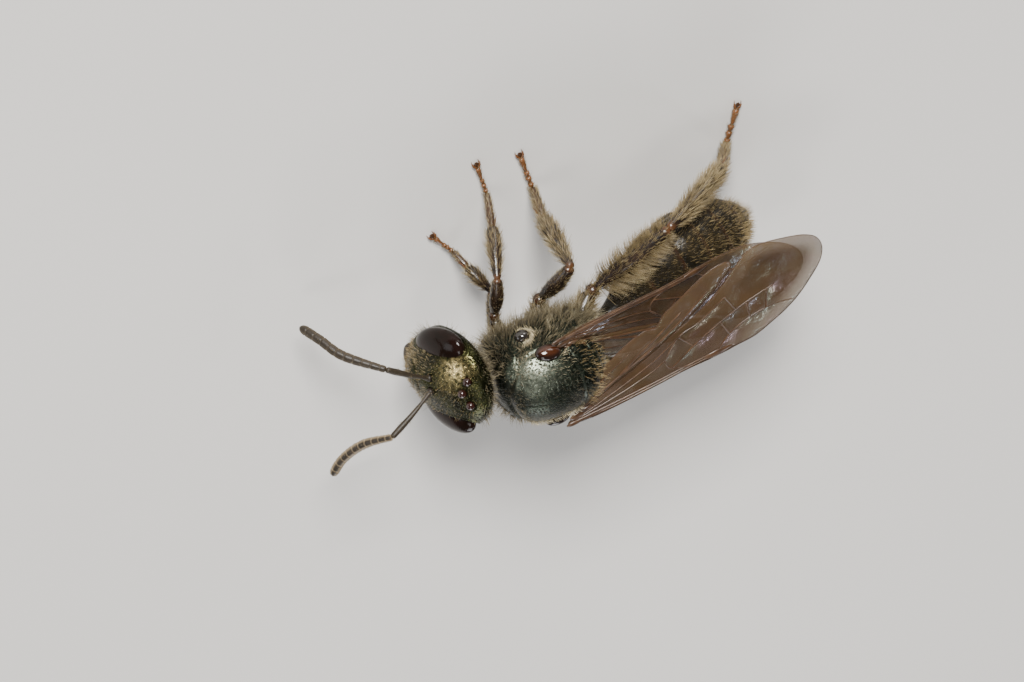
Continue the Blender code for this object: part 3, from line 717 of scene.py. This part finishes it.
def hair_mesh(name, root, head, curl, tall, thick, spots, glow):
    """Closed, tapered hairs of three three-sided rings and a tip."""
    side = unit(np.cross(head, unit(HAIR_HINT + 0.01 * head)))
    up = np.cross(head, side)
    rings = []
    for share in HAIR_RINGS:
        reach = thick * (1 - HAIR_TAPER * share)
        centre = along_hair(root, head, curl, tall, share)
        rings.append(hoops(centre, side, up, reach, reach, turns(3, 0)))
    tip = along_hair(root, head, curl, tall, 1)
    verts = np.concatenate(rings + [tip[:, None]], axis=1)
    size = verts.shape[1]
    base = (np.arange(len(root)) * size)[:, None, None]
    tris = np.array([(6, 7, 9), (7, 8, 9), (8, 6, 9), (2, 1, 0)])
    quads = (ring_quads(len(HAIR_RINGS), 3) + base).reshape(-1, 4)
    tris = (tris + base).reshape(-1, 3)
    rise = np.repeat((*HAIR_RINGS, 1), (3, 3, 3, 1))
    mesh = new_mesh(name, verts.reshape(-1, 3), quads, tris, (rise * glow[:, None]).ravel())
    offset = np.stack([np.append(np.tile((0, 1, 0.5), 3), 0.5), rise], -1) - 0.5
    corners = np.append(quads, tris)
    spots = spots[corners // size] + offset[corners % size] * PATCH
    mesh.uv_layers.new(name="OFBake").data.foreach_set("uv", spots.astype(np.float32).ravel())
    return mesh


# Head

def head_local(rings):
    return (rings - HEAD_AT) @ HEAD_AXES.T


def eye_axes(side):
    c, s = np.cos(EYE_LEAN * side), np.sin(EYE_LEAN * side)
    return np.array(((c, s, 0), (-s, c, 0), (0, 0, 1)))


def eye_distance(local, side):
    """1 on the surface of an eye, more outside it."""
    return norm((local - EYE_AT * (side, 1, 1)) @ eye_axes(side).T / EYE_HALF)


def head_rings(count=150, sides=200):
    """Rounded head with its mouth shield, antenna sockets, midline keel and eye rims."""
    lean = np.pi * (0.004 + 0.992 * even(count))[:, None]
    turn = turns(sides, 0)
    y, n, f = np.sin(lean) * np.sin(turn), np.sin(lean) * np.cos(turn), -np.cos(lean) + 0 * turn
    right = HEAD_HALF[0] * y * (1 - CHIN_TAPER * ease(0.15, 1, f))
    down = HEAD_HALF[1] * f
    shield = np.exp(-((f - 0.62) / 0.26) ** 2 - (y / 0.36) ** 2)
    out = n * np.where(n > 0, HEAD_HALF[2] + SHIELD_RISE * shield, HEAD_HALF[2] * HEAD_BACK)
    local = np.stack([right, down, out], -1)
    front = ease(0.1, 0.4, n)
    seam = np.hypot(right / 0.44, (down - 0.8) / 0.4)
    forms = [
        (-0.016, (seam - 1) * 0.4, 0.018, front),
        (0.03, np.hypot(right, (down - 0.26) * 0.8), 0.13, front),
        (0.01, right, 0.014, front * ease(-0.5, -0.4, down) * ease(0.15, 0, down)),
        (-0.022, down - 0.93, 0.02, front * ease(0.5, 0.3, np.abs(right))),
    ]
    for side in (1, -1):
        socket = np.hypot(right - SOCKET[0] * side, down - SOCKET[1])
        eye = eye_distance(local, side)
        forms += [(0.018, socket - 0.105, 0.022, front), (-0.055, socket, 0.07, front),
                  (0.012, eye - 1.13, 0.035, 1), (-0.02, eye - 1.03, 0.03, 1),
                  (-0.05, eye - 1, 0.3, ease(0.78, 0.98, right * side))]
    for spot in OCELLI.values():
        away = norm(local - spot)
        forms += [(0.01, away - 0.125, 0.02, 1), (-0.03, away, 0.09, 1)]
    local = local + unit(local / HEAD_HALF ** 2) * relief_of(forms)[..., None]
    return HEAD_AT + local @ HEAD_AXES


def build_head():
    rings = head_rings()
    right, down, out = coords(head_local(rings))
    # Painted highlight: tone brings the shell's golden third colour into a patch between the right
    # eye and the ocelli, with a weaker, wider patch nearer the middle
    gold = ease(0, 0.3, out) * (0.9 * oval(right, 0.47, 0.17, down, -0.62, 0.22)
                                  + 0.2 * oval(right, 0.24, 0.3, down, -0.45, 0.28))
    solid("head_skin", "green_shell", "green", rings, "head", tone=gold)
    for word, side in SIDES:
        eye = ellipsoid_rings(head_point(EYE_AT * (side, 1, 1)), EYE_HALF,
                              eye_axes(side) @ HEAD_AXES, 60, 80)
        solid(f"eye_{word}_globe", "eye", "eye", eye, f"eye_{word}")
    for word, spot in OCELLI.items():
        lens = ellipsoid_rings(head_point(spot), OCELLUS_RADIUS, HEAD_AXES, 24, 32)
        solid(f"ocellus_{word}_lens", "amber_shell", "ocellus", lens, f"ocellus_{word}")
    for word, side in SIDES:
        knots = [head_point((y * side, f, n)) for y, f, n in MANDIBLE_KNOTS]
        blade = limb_rings(knots, MANDIBLE_RADII, 28, 20, flat=0.6, end_dome=0.12)
        solid(f"mandible_{word}_blade", "horn", "horn", blade, f"mandible_{word}",
              tone=np.linspace(0, 0.12, 28)[:, None])
    head_coat(rings)


def head_coat(rings):
    skin = Skin(rings, HEAD_PATCH)
    local, n = head_local(rings), skin.normals
    right, down, out = coords(local)
    clear = np.ones_like(right)
    for side in (1, -1):
        eye = eye_distance(local, side)
        socket = np.hypot(right - SOCKET[0] * side, down - SOCKET[1])
        clear *= ease(1.05, 1.12, eye) * np.where(out > 0, ease(0.09, 0.12, socket), 1)
        clear *= 1 - ease(0.72, 0.86, right * side) * ease(1.75, 1.45, eye)
    for spot in OCELLI.values():
        clear *= ease(0.11, 0.15, norm(local - spot))
    face, lower = ease(0.02, 0.25, out), ease(-0.2, 0.2, down)
    away = np.sign(right) * ease(0.05, 0.4, np.abs(right))
    flow = HEAD_DOWN + HEAD_RIGHT * away[..., None] * 0.55
    grow("face", skin, clear * face * (60 + 700 * lower), 0.052 + 0.05 * lower,
         n * 0.48 + flow * 0.9, flow * 0.3 - n * 0.35, 0.0044, ragged=0.35, jitter=0.12)
    grow("gold", skin, clear * face * (1 - lower) * 130, 0.085, n * 1.2 - HEAD_DOWN * 0.25,
         n * 0.2, 0.0034)
    back = clear * ease(0.14, -0.06, out) * ease(-0.42, -0.1, out) * 420
    cheek = ease(0.45, 0.75, np.abs(right))
    for coat, tall, radius in (("cream", 0.18 + 0.06 * cheek, 0.0042), ("bronze", 0.13, 0.0038)):
        grow(coat, skin, back, tall, n + HEAD_OUT * 0.3, HEAD_OUT * 0.3 + HEAD_DOWN * 0.2,
             radius, clump=0.14)
    chin = ease(0.5, 0.8, down) * ease(-0.1, 0.15, out)
    grow("face", skin, clear * chin * 300, 0.15, HEAD_DOWN * 0.9 + n * 0.5, n * -0.1,
         0.0045)


# Antennae

def build_antenna(word, side):
    root = head_point(SOCKET * (side, 1, 1))
    path = spline(ANTENNA[word], 320)
    reach = path[0] - root
    build = Build()
    scape = limb_rings([root, root + reach * 0.45 + (0, 0, 0.03), root + reach * 1.01],
                       SCAPE_RADII, 60, 24, end_dome=0.05)
    build.add(scape, tone=0.05)
    across = unit(np.cross(reach, (0, 0, 1)))
    axes = [across, unit(reach), np.cross(across, unit(reach))]
    build.add(ellipsoid_rings(root + reach * 0.02, (0.075, 0.06, 0.075), axes, 14, 20), tone=0.02)
    run = run_of(path)
    joints = np.linspace(PEDICEL, run[-1], FLAGELLUM_BEADS, endpoint=False)
    near = np.abs(run[:, None] - np.append(0, joints))
    wide = FLAGELLUM_RADIUS * (0.72 + 0.28 * ease(0, 0.45, run / run[-1]))
    wide = wide * (1 - 0.09 * bump(near.min(1), 0.014) - 0.22 * bump(near[:, 0], 0.03))
    wide = domed(wide, run, 0.03, 0.16)
    rings = ring_path(path, wide, wide, LIMB_HINT, 32)
    first = 0.25 - 0.24 * side
    skin = Skin(rings, (first, 0.01, first + 0.48, 0.85))
    # Painted rim light: tone is paler along the flagellum's sides as the camera sees them, strongly
    # on the left antenna and faintly on the right; the fine hair is denser there too
    edges = unit(np.cross(skin.ahead, VIEW[2]))
    painted_rim_light = ease(0.35, 0.85, np.abs(np.einsum("ijk,ijk->ij", skin.normals, edges)))
    painted_rim_light = painted_rim_light * (0.15 if side > 0 else 1)
    pale = (0.05 if side > 0 else 0.3) * bump(near.min(1), 0.012)[:, None]
    build.add(rings, tone=np.clip(0.55 * painted_rim_light + pale + 0.03, 0, 1), ends=0.1)
    grow("fine", skin, 200 + 800 * painted_rim_light, 0.026, (skin.normals + skin.ahead) * 0.7,
         skin.ahead * 0.2, 0.0028, ragged=0.25, sink=0.005)
    skin = Skin(scape, (first, 0.88, first + 0.48, 0.99))
    grow("fine", skin, 260, 0.05, (skin.normals + skin.ahead) * 0.7, skin.ahead * 0.2, 0.0035,
         ragged=0.25, sink=0.005)
    build.finish(f"antenna_{word}", "horn", "horn", f"scape_{word}", f"flagellum_{word}")


# Thorax

def thorax_rings(count=170, sides=220):
    turn = turns(sides)
    x, middle, wide, high = spline(THORAX, count).T[..., None]
    return np.stack([x + 0 * turn, (wide - THORAX_INSET) * np.cos(turn),
                     middle + (high - THORAX_INSET) * np.sin(turn)], -1)


def lobe_distance(rings, way):
    return norm(rings - LOBE_AT * (1, way, 1))


def thorax_relief(base):
    """Height of seams, lobes and ridges over the smooth thorax."""
    x, y, z = coords(base)
    across = np.abs(y)
    top, low = ease(-0.3, -0.05, z), ease(-0.6, -0.3, z)
    collar = x + 0.86 - 0.5 * (across / 0.95) ** 2
    hind = x - 0.5 + 0.07 * (across / 0.6) ** 2
    metanotum = x - 0.92 + 0.1 * (across / 0.6) ** 2
    basal = metanotum - 0.14
    forms = [
        (-0.035, collar, 0.028, ease(-0.75, -0.5, z)),
        (0.02, collar + 0.1, 0.06, low),
        (-0.045, hind, 0.026, top),
        (0.025, np.hypot(x - 0.56, (across - 0.62) / 1.3), 0.09, top),
        (0.045, np.hypot((x - 0.7) / 0.2, across / 0.48), 1, top),
        (-0.04, metanotum, 0.022, low),
        (0.022, metanotum - 0.07, 0.045, low),
        (-0.035, basal, 0.02, ease(-0.8, -0.5, z)),
        (-0.014, y, 0.012, ease(-0.1, -0.3, x) * ease(-0.8, -0.7, x) * top),
        (-0.01, across - 0.46, 0.01, ease(-0.25, -0.15, x) * ease(0.4, 0.3, x) * top),
        (-0.035, z + 0.1 + 0.02 * np.cos(x * 3), 0.03,
         ease(-0.45, -0.3, x) * ease(0.95, 0.8, x)),
        (-0.03, x - 0.66 - 0.22 * (z + 0.6), 0.024, ease(-0.15, -0.3, z)),
        (-0.02, x + 0.42 - 0.25 * (z + 0.8), 0.022, ease(-0.55, -0.7, z)),
        (-0.018, np.hypot(x - 0.3, z + 0.62), 0.05, 1),
    ]
    for way in (1, -1):
        lobe = lobe_distance(base, way)
        forms += [(0.075, lobe, LOBE_RADIUS * 0.8, 1),
                  (-0.02, lobe - LOBE_RADIUS * 1.55, 0.03, 1)]
    rear = ease(0, 0.04, basal) * ease(0.16, 0.1, basal) * ease(-0.9, -0.6, z)
    return (relief_of(forms) + 0.03 * ease(0, 0.12, collar) * ease(0.75, 0.1, x) * top
            + 0.007 * np.sin(y * 62 + 1.5 * np.sin(y * 9)) * rear)


def build_thorax():
    base = thorax_rings()
    rings = base + ring_normals(base) * thorax_relief(base)[..., None]
    x, y, z = coords(rings)
    sheen = 0.62 * oval(x, -0.36, 0.4, y, 0.6, 0.3) * ease(-0.3, 0, z)
    lobes = sum(bump(lobe_distance(rings, way), 0.16) for way in (1, -1))
    solid("thorax_skin", "green_shell", "dorsum", rings, "pronotum", "scutum", "scutellum",
          "mesopleura", "propodeum", tone=np.clip(sheen + 0.2 * lobes, 0, 1))
    thorax_coat(rings)
    for word, side in SIDES:
        axes = np.array(TEGULA_AXES) * (1, side, 1)
        scale = ellipsoid_rings(TEGULA_AT * (1, side, 1), TEGULA_HALF, axes, 40, 56)
        # Painted glint: tone warms the middle of each tegula's outer face, standing for an orange
        # glint
        solid(f"tegula_{word}_scale", "amber_shell", "amber", scale, f"tegula_{word}",
              tone=ease(0.74, 1, ring_normals(scale) @ unit(axes[2])))
        lobe = ellipsoid_rings(LOBE_AT * (1, side, 1), LOBE_RADIUS * np.array((1.15, 1, 1.05)),
                               np.eye(3), 28, 40)
        solid(f"lobe_{word}", "green_shell", "lobe", lobe)


def thorax_coat(rings):
    skin = Skin(rings, THORAX_PATCH)
    n = skin.normals
    x, y, z = coords(rings)
    across = np.abs(y)
    back, up = np.array((1, 0, 0)), np.array((0, 0, 1))
    keep = ease(-1.02, -0.9, x) * ease(1.44, 1.36, x)
    for way in (1, -1):
        scale = np.hypot((x - TEGULA_AT[0]) / 1.3, z - TEGULA_AT[2])
        lobe = lobe_distance(rings, way)
        keep = keep * np.where(y * way > 0, ease(0.14, 0.2, scale), 1)
        keep = keep * ease(LOBE_RADIUS * 1.5, LOBE_RADIUS * 1.9, lobe)
    top = keep * ease(-0.22, -0.02, z)
    dorsum = top * ease(0.55, 0.45, x)
    grow("bronze", skin, dorsum * (260 + 260 * ease(0, 0.4, x)), 0.07, n + back * 0.55,
         back * 0.3, 0.0025, jitter=0.2)
    rim = dorsum * ease(0.45, 0.8, across)
    grow("pearl", skin, rim * (500 + 900 * (y < 0)), 0.125, n + back * 0.3, back * 0.2,
         0.004, jitter=0.2)
    grow("gold", skin, top * ease(0.5, 0.6, x) * 300, 0.16, n + back * 0.45, back * 0.35,
         0.0036, jitter=0.2)
    flank = keep * ease(-0.08, -0.25, z) * ease(0.3, 0.55, across)
    tall = 0.23 + 0.16 * ease(-0.4, -1, z)
    grow("cream", skin, flank * 560, tall, n + back * 0.12 - up * 0.1, up * 0.35 + back * 0.25,
         0.0045, ragged=0.45, jitter=0.1, clump=0.26)
    grow("bronze", skin, flank * 430, tall * 0.62, n + back * 0.25, up * 0.2 + back * 0.25,
         0.004, jitter=0.2)
    belly = ease(0.6, 0.35, across) * ease(-0.9, -1.2, z)
    grow("cream", skin, keep * belly * 260, 0.2, n * 0.8 + back * 0.6, back * 0.3, 0.005)
    ruff = bump(x + 0.8 - 0.5 * (across / 0.95) ** 2, 0.07) * ease(-0.7, -0.45, z)
    grow("cream", skin, keep * ruff * 900, 0.1, (n + back) * 0.7, back * 0.2, 0.0042,
         ragged=0.3)
    for way in (1, -1):
        away = rings - LOBE_AT * (1, way, 1)
        ring = bump(norm(away) - LOBE_RADIUS * 1.65, 0.045) * ease(-0.45, 0, unit(away)[..., 0])
        grow("pearl", skin, ring * 4600, 0.095, n - unit(away) * 0.25, unit(away) * -0.3,
             0.0052, ragged=0.2, jitter=0.08)


# Abdomen

def abdomen_rings(count=260, sides=200):
    """Overlapping rings, flattened, with a fold between the back and belly plates."""
    whole = np.linspace(-0.046, 1, count)
    t = np.clip(whole, 0, 1)
    path = ABDOMEN_START + (ABDOMEN_END - ABDOMEN_START) * whole[:, None]
    wide = read_along(ABDOMEN_WIDTHS, t, 801) - ABDOMEN_INSET
    for start, end in zip(SEGMENT_ENDS[1:], SEGMENT_ENDS[2:]):
        tau = (t - start) / (end - start)
        lip = SEGMENT_STEP * (1 - ease(0, 0.45, tau))
        wide = wide - np.where((tau >= 0) & (tau < 1), lip, 0)
        gap = (start - t) / 0.012
        wide = wide - np.where((gap > 0) & (gap < 1), 0.014 * (1 - gap) ** 2, 0)
    close = np.clip((t - 0.955) / 0.045, 0, 1)
    wide = np.maximum(wide * np.sqrt(1 - close ** 2), 0.012)
    high = wide * (1 - (1 - ABDOMEN_FLATNESS) * ease(0, 0.2, t))
    rings = ring_path(path, wide, high, (0, 1, 0), sides)
    turn = turns(sides)
    fold = bump(np.abs(np.cos(turn)) - np.cos(0.42), 0.035) * (np.sin(turn) < 0)
    slit = bump(np.cos(turn), 0.022) * (np.sin(turn) > 0)
    furrow = ease(0.8, 0.83, t) * ease(0.9, 0.885, t)
    inward = -0.028 * fold * ease(0.05, 0.15, t)[:, None] - 0.03 * slit * furrow[:, None]
    return rings + ring_normals(rings) * inward[..., None], t[:, None], turn


def build_abdomen():
    rings, t, turn = abdomen_rings()
    lip = sum(ease(0.035, 0, np.abs(end - 0.004 - t)) * (t <= end) for end in SEGMENT_ENDS[1:-1])
    solid("abdomen_skin", "dark_shell", "black", rings,
          *(f"abdomen_{k}" for k in range(1, 7)), tone=np.clip(lip, 0, 1) * 0.55)
    skin = Skin(rings, ABDOMEN_PATCH)
    n, ahead = skin.normals, unit(ABDOMEN_END - ABDOMEN_START)
    body, rise = ease(0.06, 0.14, t), np.sin(turn)
    tau = sum(((t - start) / (end - start)) * ((t > start) & (t <= end))
              for start, end in zip(SEGMENT_ENDS, SEGMENT_ENDS[1:]))
    disc, tail = ease(0.02, 0.14, tau), ease(0.45, 0.95, t)
    upper = ease(-0.35, 0.1, rise) * body * disc
    grow("silver", skin, upper * (340 + 60 * tail), 0.115 + 0.05 * tail,
         n * (0.85 + 0.15 * tail[..., None]) + ahead * 0.6, n * 0.1,
         0.0043, ragged=0.35, jitter=0.1, clump=0.13)
    grow("gold", skin, upper * 300, 0.05, n * 0.45 + ahead * 0.9, ahead * 0.2, 0.003,
         ragged=0.35, jitter=0.15)
    front = ease(0.3, 0.1, t) * body * ease(0.9, 0.2, np.abs(rise))
    grow("cream", skin, front * 600, 0.2, n + ahead * 0.35, n * 0.1, 0.0045)
    under = ease(-0.1, -0.45, rise) * body * disc
    grow("gold", skin, under * 300, 0.16, n * 0.6 + ahead * 0.8, ahead * 0.1, 0.0045,
         ragged=0.4, jitter=0.2)
    tuft = bump(np.cos(turn), 0.35) * (rise > 0) * ease(0.8, 0.86, t) * ease(0.97, 0.93, t)
    grow("gold", skin, tuft * 800, 0.14, n * 0.5 + ahead * 0.9, ahead * 0.1, 0.0045,
         ragged=0.3, jitter=0.15)


# Wings

def line_distance(spots, line):
    best = np.full(len(spots), np.inf)
    for a, b in zip(line, line[1:]):
        run = b - a
        share = np.clip((spots - a) @ run / (run @ run), 0, 1)
        best = np.minimum(best, norm(spots - a - share[:, None] * run))
    return best


def inside(spots, outline):
    hits = np.zeros(len(spots), bool)
    for (x0, y0), (x1, y1) in zip(outline, np.roll(outline, -1, axis=0)):
        crosses = (y0 > spots[:, 1]) != (y1 > spots[:, 1])
        if y1 != y0:
            hits ^= crosses & (spots[:, 0] < x0 + (spots[:, 1] - y0) * (x1 - x0) / (y1 - y0))
    return hits


def film_points(edge, rim):
    """Even points inside the outline of a wing."""
    xs = np.arange(edge[:, 0].min(), edge[:, 0].max(), FILM_STEP)
    ys = np.arange(edge[:, 1].min(), edge[:, 1].max(), FILM_STEP * 0.87)
    grid = np.array([(x + FILM_STEP / 2 * (k % 2), y) for x in xs for k, y in enumerate(ys)])
    return grid[inside(grid, edge) & (line_distance(grid, rim) > FILM_STEP * 0.5)]


def build_wing(kind, word, outline, veins, fore):
    """Film between two faces, which rises a little at each vein, sags and ripples."""
    hinge, along, across = (np.array(v, float) for v in WINGS[word])
    along = unit(along)
    across = unit(across - along * (across @ along))
    up = np.cross(along, across)
    up = up if up[2] > 0 else -up
    edge = spline(outline + outline[:1], 6 * len(outline) + 1)[:-1]
    rim = np.concatenate([edge, edge[:1]])
    lines = [spline(v, 8 * len(v)) for v in veins]

    def lift(spots):
        s, t = spots.T
        near = np.min([line_distance(spots, line) for line in lines], axis=0)
        bow = WING_CAMBER * np.sin(np.pi * np.minimum(1, s / WING_LENGTH)) * (1 - t / 2)
        ripple = WING_RIPPLE * np.sin(s * 5.1 + t * 3) * ease(0.1, 0.5, near)
        return bow + VEIN_RISE * np.exp(-near / VEIN_SPREAD) + ripple

    def place_at(flat, height):
        return hinge + flat[:, :1] * along + flat[:, 1:2] * across + height[:, None] * up

    spots = np.concatenate([edge, film_points(edge, rim)])
    made = delaunay_2d_cdt([Vector(p) for p in spots], [], [list(range(len(edge)))], 1, 1e-5)
    spots = np.array([tuple(p) for p in made[0]])
    tris = np.array([f for f in made[2] if len(f) == 3])
    total, height = len(spots), lift(spots)
    pale = 0.75 * ease(0.42, 0.1, line_distance(spots, rim)) * ease(3.2, 4.6, spots[:, 0])
    pale = np.clip(pale + (0.15 if fore else 0.35), 0, 1)
    pairs = {(tri[k], tri[k - 2]): True for tri in tris for k in range(3)}
    walls = np.array([(a, b, b + total, a + total) for a, b in pairs if (b, a) not in pairs])
    verts = np.concatenate([place_at(spots, height + MEMBRANE_HALF),
                            place_at(spots, height - MEMBRANE_HALF)])
    build = Build()
    build.add_body(outwards(verts, walls[:, ::-1], np.concatenate([tris, tris[:, ::-1] + total])),
                   0, np.append(pale, pale))
    for number, line in enumerate(lines):
        radii = np.linspace(*(STRONG_VEIN if number < 2 else FINE_VEIN), 5)
        build.add(limb_rings(place_at(line, lift(line)), radii, len(line), 8, up, end_dome=0.02), 1)
    margin = place_at(edge, lift(edge))[edge[:, 0] > 0.5]
    build.add(limb_rings(margin, (0.009, 0.008, 0.009), len(margin), 6, up), 1)
    if fore:
        spots = np.array(STIGMA)
        path = place_at(spots, lift(spots) + 0.004)
        build.add(limb_rings(path, STIGMA_RADII, 20, 14, across, 0.35, 0.05, 0.05), 1)
        for s, t, long, wide in WING_PLATES:
            spot = place_at(np.array(((s, t),)), np.array((0.03,)))[0]
            build.add(ellipsoid_rings(spot, (long, 0.035, wide), [along, up, across], 14, 20), 1)
    build.finish(f"wing_{kind}_{word}", "wing", "wing vein", kind + f"wing_{word}")


# Legs

def build_leg(name):
    hip, knuckle, knee, ankle = (np.array(p) for p in LEGS[name][:4])
    ball, tip = (np.array((*p, FLOOR + rise))
                 for p, rise in zip(LEGS[name][4:], (BALL_RISE, TIP_RISE)))
    pair = name.split("_")[0]
    size = LEG_SIZE[pair]
    column = 0.01 + 0.33 * list(LEG_SIZE).index(pair)
    build = Build()
    skins = {}

    def add(word, knots, count, sides=18, tone=0, **settings):
        radii = [r * size for r in LEG_RADII[word.split("_")[0]]]
        rings = limb_rings(knots, radii, count, sides, **settings)
        build.add(rings, tone=tone)
        low = sum(LEG_ROWS[done] for done in skins)
        high = low + LEG_ROWS[word]
        skins[word] = Skin(rings, (column, low + 0.003, column + 0.31, high - 0.003))

    hook, shin = unit(knee - knuckle), unit(ankle - knee)
    bulge = np.cross(hook, shin)
    add("coxa", [hip, hip * 0.4 + knuckle * 0.6, knuckle], 20, end_dome=0.06)
    add("trochanter", [knuckle + hook * s for s in (-0.05, 0.08, 0.18)], 14, tone=0.15,
        start_dome=0.05, end_dome=0.05)
    share = even(30)[:, None]
    thigh = knuckle + hook * 0.15
    add("femur", [thigh, (thigh + knee) * 0.5 + (0, 0, 0.04), knee], 30,
        tone=0.45 * ease(0.88, 1, share), hint=bulge, flat=0.88, start_dome=0.04, end_dome=0.09)
    add("tibia", [knee - shin * 0.03, (knee + ankle) * 0.5 + (0, 0, 0.03), ankle], 30,
        tone=0.45 * ease(0.16, 0, share), hint=bulge, flat=0.85, start_dome=0.07, end_dome=0.06)
    add("basitarsus", [ankle - shin * 0.02, ankle * 0.45 + ball * 0.55, ball], 20, 14,
        tone=0.12, start_dome=0.05, end_dome=0.04)
    path = spline([ball, (ball + tip) * 0.5 + (0, 0, 0.01), tip + (0, 0, 0.01)], 101)
    for number, (low, high) in enumerate(zip(TOE_CUTS, TOE_CUTS[1:])):
        a, b = path[low], path[high]
        add(f"toe_{number}", [a, (a + b) / 2, b], 10, 12, tone=0.85, start_dome=0.02,
            end_dome=0.03)
    add_claws(build, path)
    for way in (-1, 1):
        spur = ankle + bulge * 0.05 * way
        aim = unit(shin + bulge * 0.25 * way)
        build.add(limb_rings([spur, spur + aim * 0.13, spur + aim * 0.24], (0.018, 0.012, 0.004),
                             8, 6), tone=0.6)
    build.finish("leg_" + name, "leg", "limb",
                 *(part + "_" + name for part in ("femur", "tibia", "tarsus")))
    leg_coat(name, skins)


def add_claws(build, path):
    tip, ahead, up = path[-4], unit(path[-1] - path[-12]), (0, 0, 1)
    side = unit(np.cross(ahead, up))
    low = FLOOR + 0.022
    for way in (-1, 1):
        for reach, rise in ((0.15, 0), (0.1, 0.016)):
            middle = tip + ahead * reach * 0.55 + side * way * 0.07
            end = tip + ahead * reach + side * way * reach * 0.45
            middle[2], end[2] = max(middle[2], low + 0.03), low + rise
            build.add(limb_rings([tip + side * way * 0.015, middle, end],
                                 (0.022, 0.02, 0.014, 0.004), 14, 8), tone=0.7)
    pad = tip + ahead * 0.07
    pad[2] = max(pad[2], low + 0.025)
    build.add(ellipsoid_rings(pad, (0.05, 0.07, 0.022), [side, ahead, up], 12, 14), tone=0.2)


def leg_coat(name, skins):
    pair, word = name.split("_")
    coat = "legs_" + word
    rich, tall = LEG_HAIR_SHARES[pair]
    for part, (density, length, lift) in LEG_HAIR.items():
        skin = skins[part]
        n, ahead, t = skin.normals, skin.ahead, even(len(skin.rings))[:, None]
        level = {"femur": ease(0.98, 0.84, t), "tibia": ease(0.02, 0.16, t)}.get(part, 1)
        reach = length * tall * (0.65 + 0.45 * np.sin(np.pi * t) if part == "tibia" else 1)
        grow(coat, skin, density * rich * level, reach, n * lift + ahead * 0.85,
             ahead * 0.35 - n * 0.1, 0.0045, ragged=0.35, jitter=0.11, clump=0.06, sink=0.01)
    for number in range(4):
        skin = skins[f"toe_{number}"]
        grow(coat, skin, 900, 0.075, skin.normals * 0.5 + skin.ahead * 0.9,
             skin.ahead * 0.2, 0.004, ragged=0.3, jitter=0.15, sink=0.005)
    if pair != "hind":
        return
    skin = skins["femur"]
    n, ahead, t = skin.normals, skin.ahead, even(len(skin.rings))[:, None]
    outer = unit(BRUSH * (1, dict(SIDES)[word], 1))
    for aim, first, last in ((outer, 0.36, 0.4), (-outer, 0.62, 0.26)):
        level = ease(0.25, 0.65, n @ aim) * ease(0, 0.08, t) * ease(1, 0.94, t)
        reach = (first + (last - first) * t) * (0.7 + 0.3 * np.sin(np.pi * t))
        grow(coat, skin, BRUSH_DENSITY * level, reach, aim + ahead * 0.15 + n * 0.2,
             ahead * 0.75 - aim * 0.2, 0.0044, jitter=0.07, clump=0.09, sink=0.01)


# Stage

def build_floor():
    mesh = bpy.data.meshes.new("floor")
    corners = [(x * FLOOR_HALF, y * FLOOR_HALF, 0) for x, y in ((-1, -1), (1, -1), (1, 1), (-1, 1))]
    mesh.from_pydata(corners, [], [(0, 1, 2, 3)])
    mesh.materials.append(LOOKS["floor"])
    floor = link("floor", mesh)
    floor.location.z = -FLOOR_DROP


def build_lights():
    """Square soft lights that look at the bee."""
    for name, (toward, distance, size, power, colour) in LIGHTS.items():
        data = bpy.data.lights.new(name, "AREA")
        data.size, data.energy, data.color = size, power, colour
        lamp = link(name, data)
        aim = Vector(unit(toward @ VIEW))
        lamp.location = Vector(world(np.zeros(3))) + aim * distance
        lamp.rotation_euler = aim.to_track_quat("Z", "Y").to_euler()
        lamp.visible_camera = False
    sky = bpy.data.worlds.new("sky")
    sky.use_nodes = True
    shade = sky.node_tree.nodes["Background"].inputs
    shade["Color"].default_value = (*SKY_COLOUR, 1)
    shade["Strength"].default_value = SKY_STRENGTH
    bpy.context.scene.world = sky


def build_camera():
    data = bpy.data.cameras.new("camera")
    data.lens, data.sensor_width = LENS, SENSOR
    data.clip_start, data.clip_end = 0.002, 10
    camera = link("camera", data)
    distance = LENS / SENSOR * IMAGE_WIDTH / PIXELS_PER_MM
    axes = np.eye(4)
    axes[:3, :3] = VIEW.T
    axes[:3, 3] = world(VIEW[0] * AIM_RIGHT + VIEW[1] * AIM_UP + VIEW[2] * distance)
    camera.matrix_world = [list(row) for row in axes.T]
    bpy.context.scene.camera = camera


build_head()
for word, side in SIDES:
    build_antenna(word, side)
build_thorax()
build_abdomen()
for word, _ in SIDES:
    build_wing("fore", word, FOREWING, FOREWING_VEINS, True)
    build_wing("hind", word, HINDWING, HINDWING_VEINS, False)
for name in LEGS:
    build_leg(name)
for name, coat in COATS.items():
    coat.finish("coat_" + name)
build_floor()
build_lights()
build_camera()
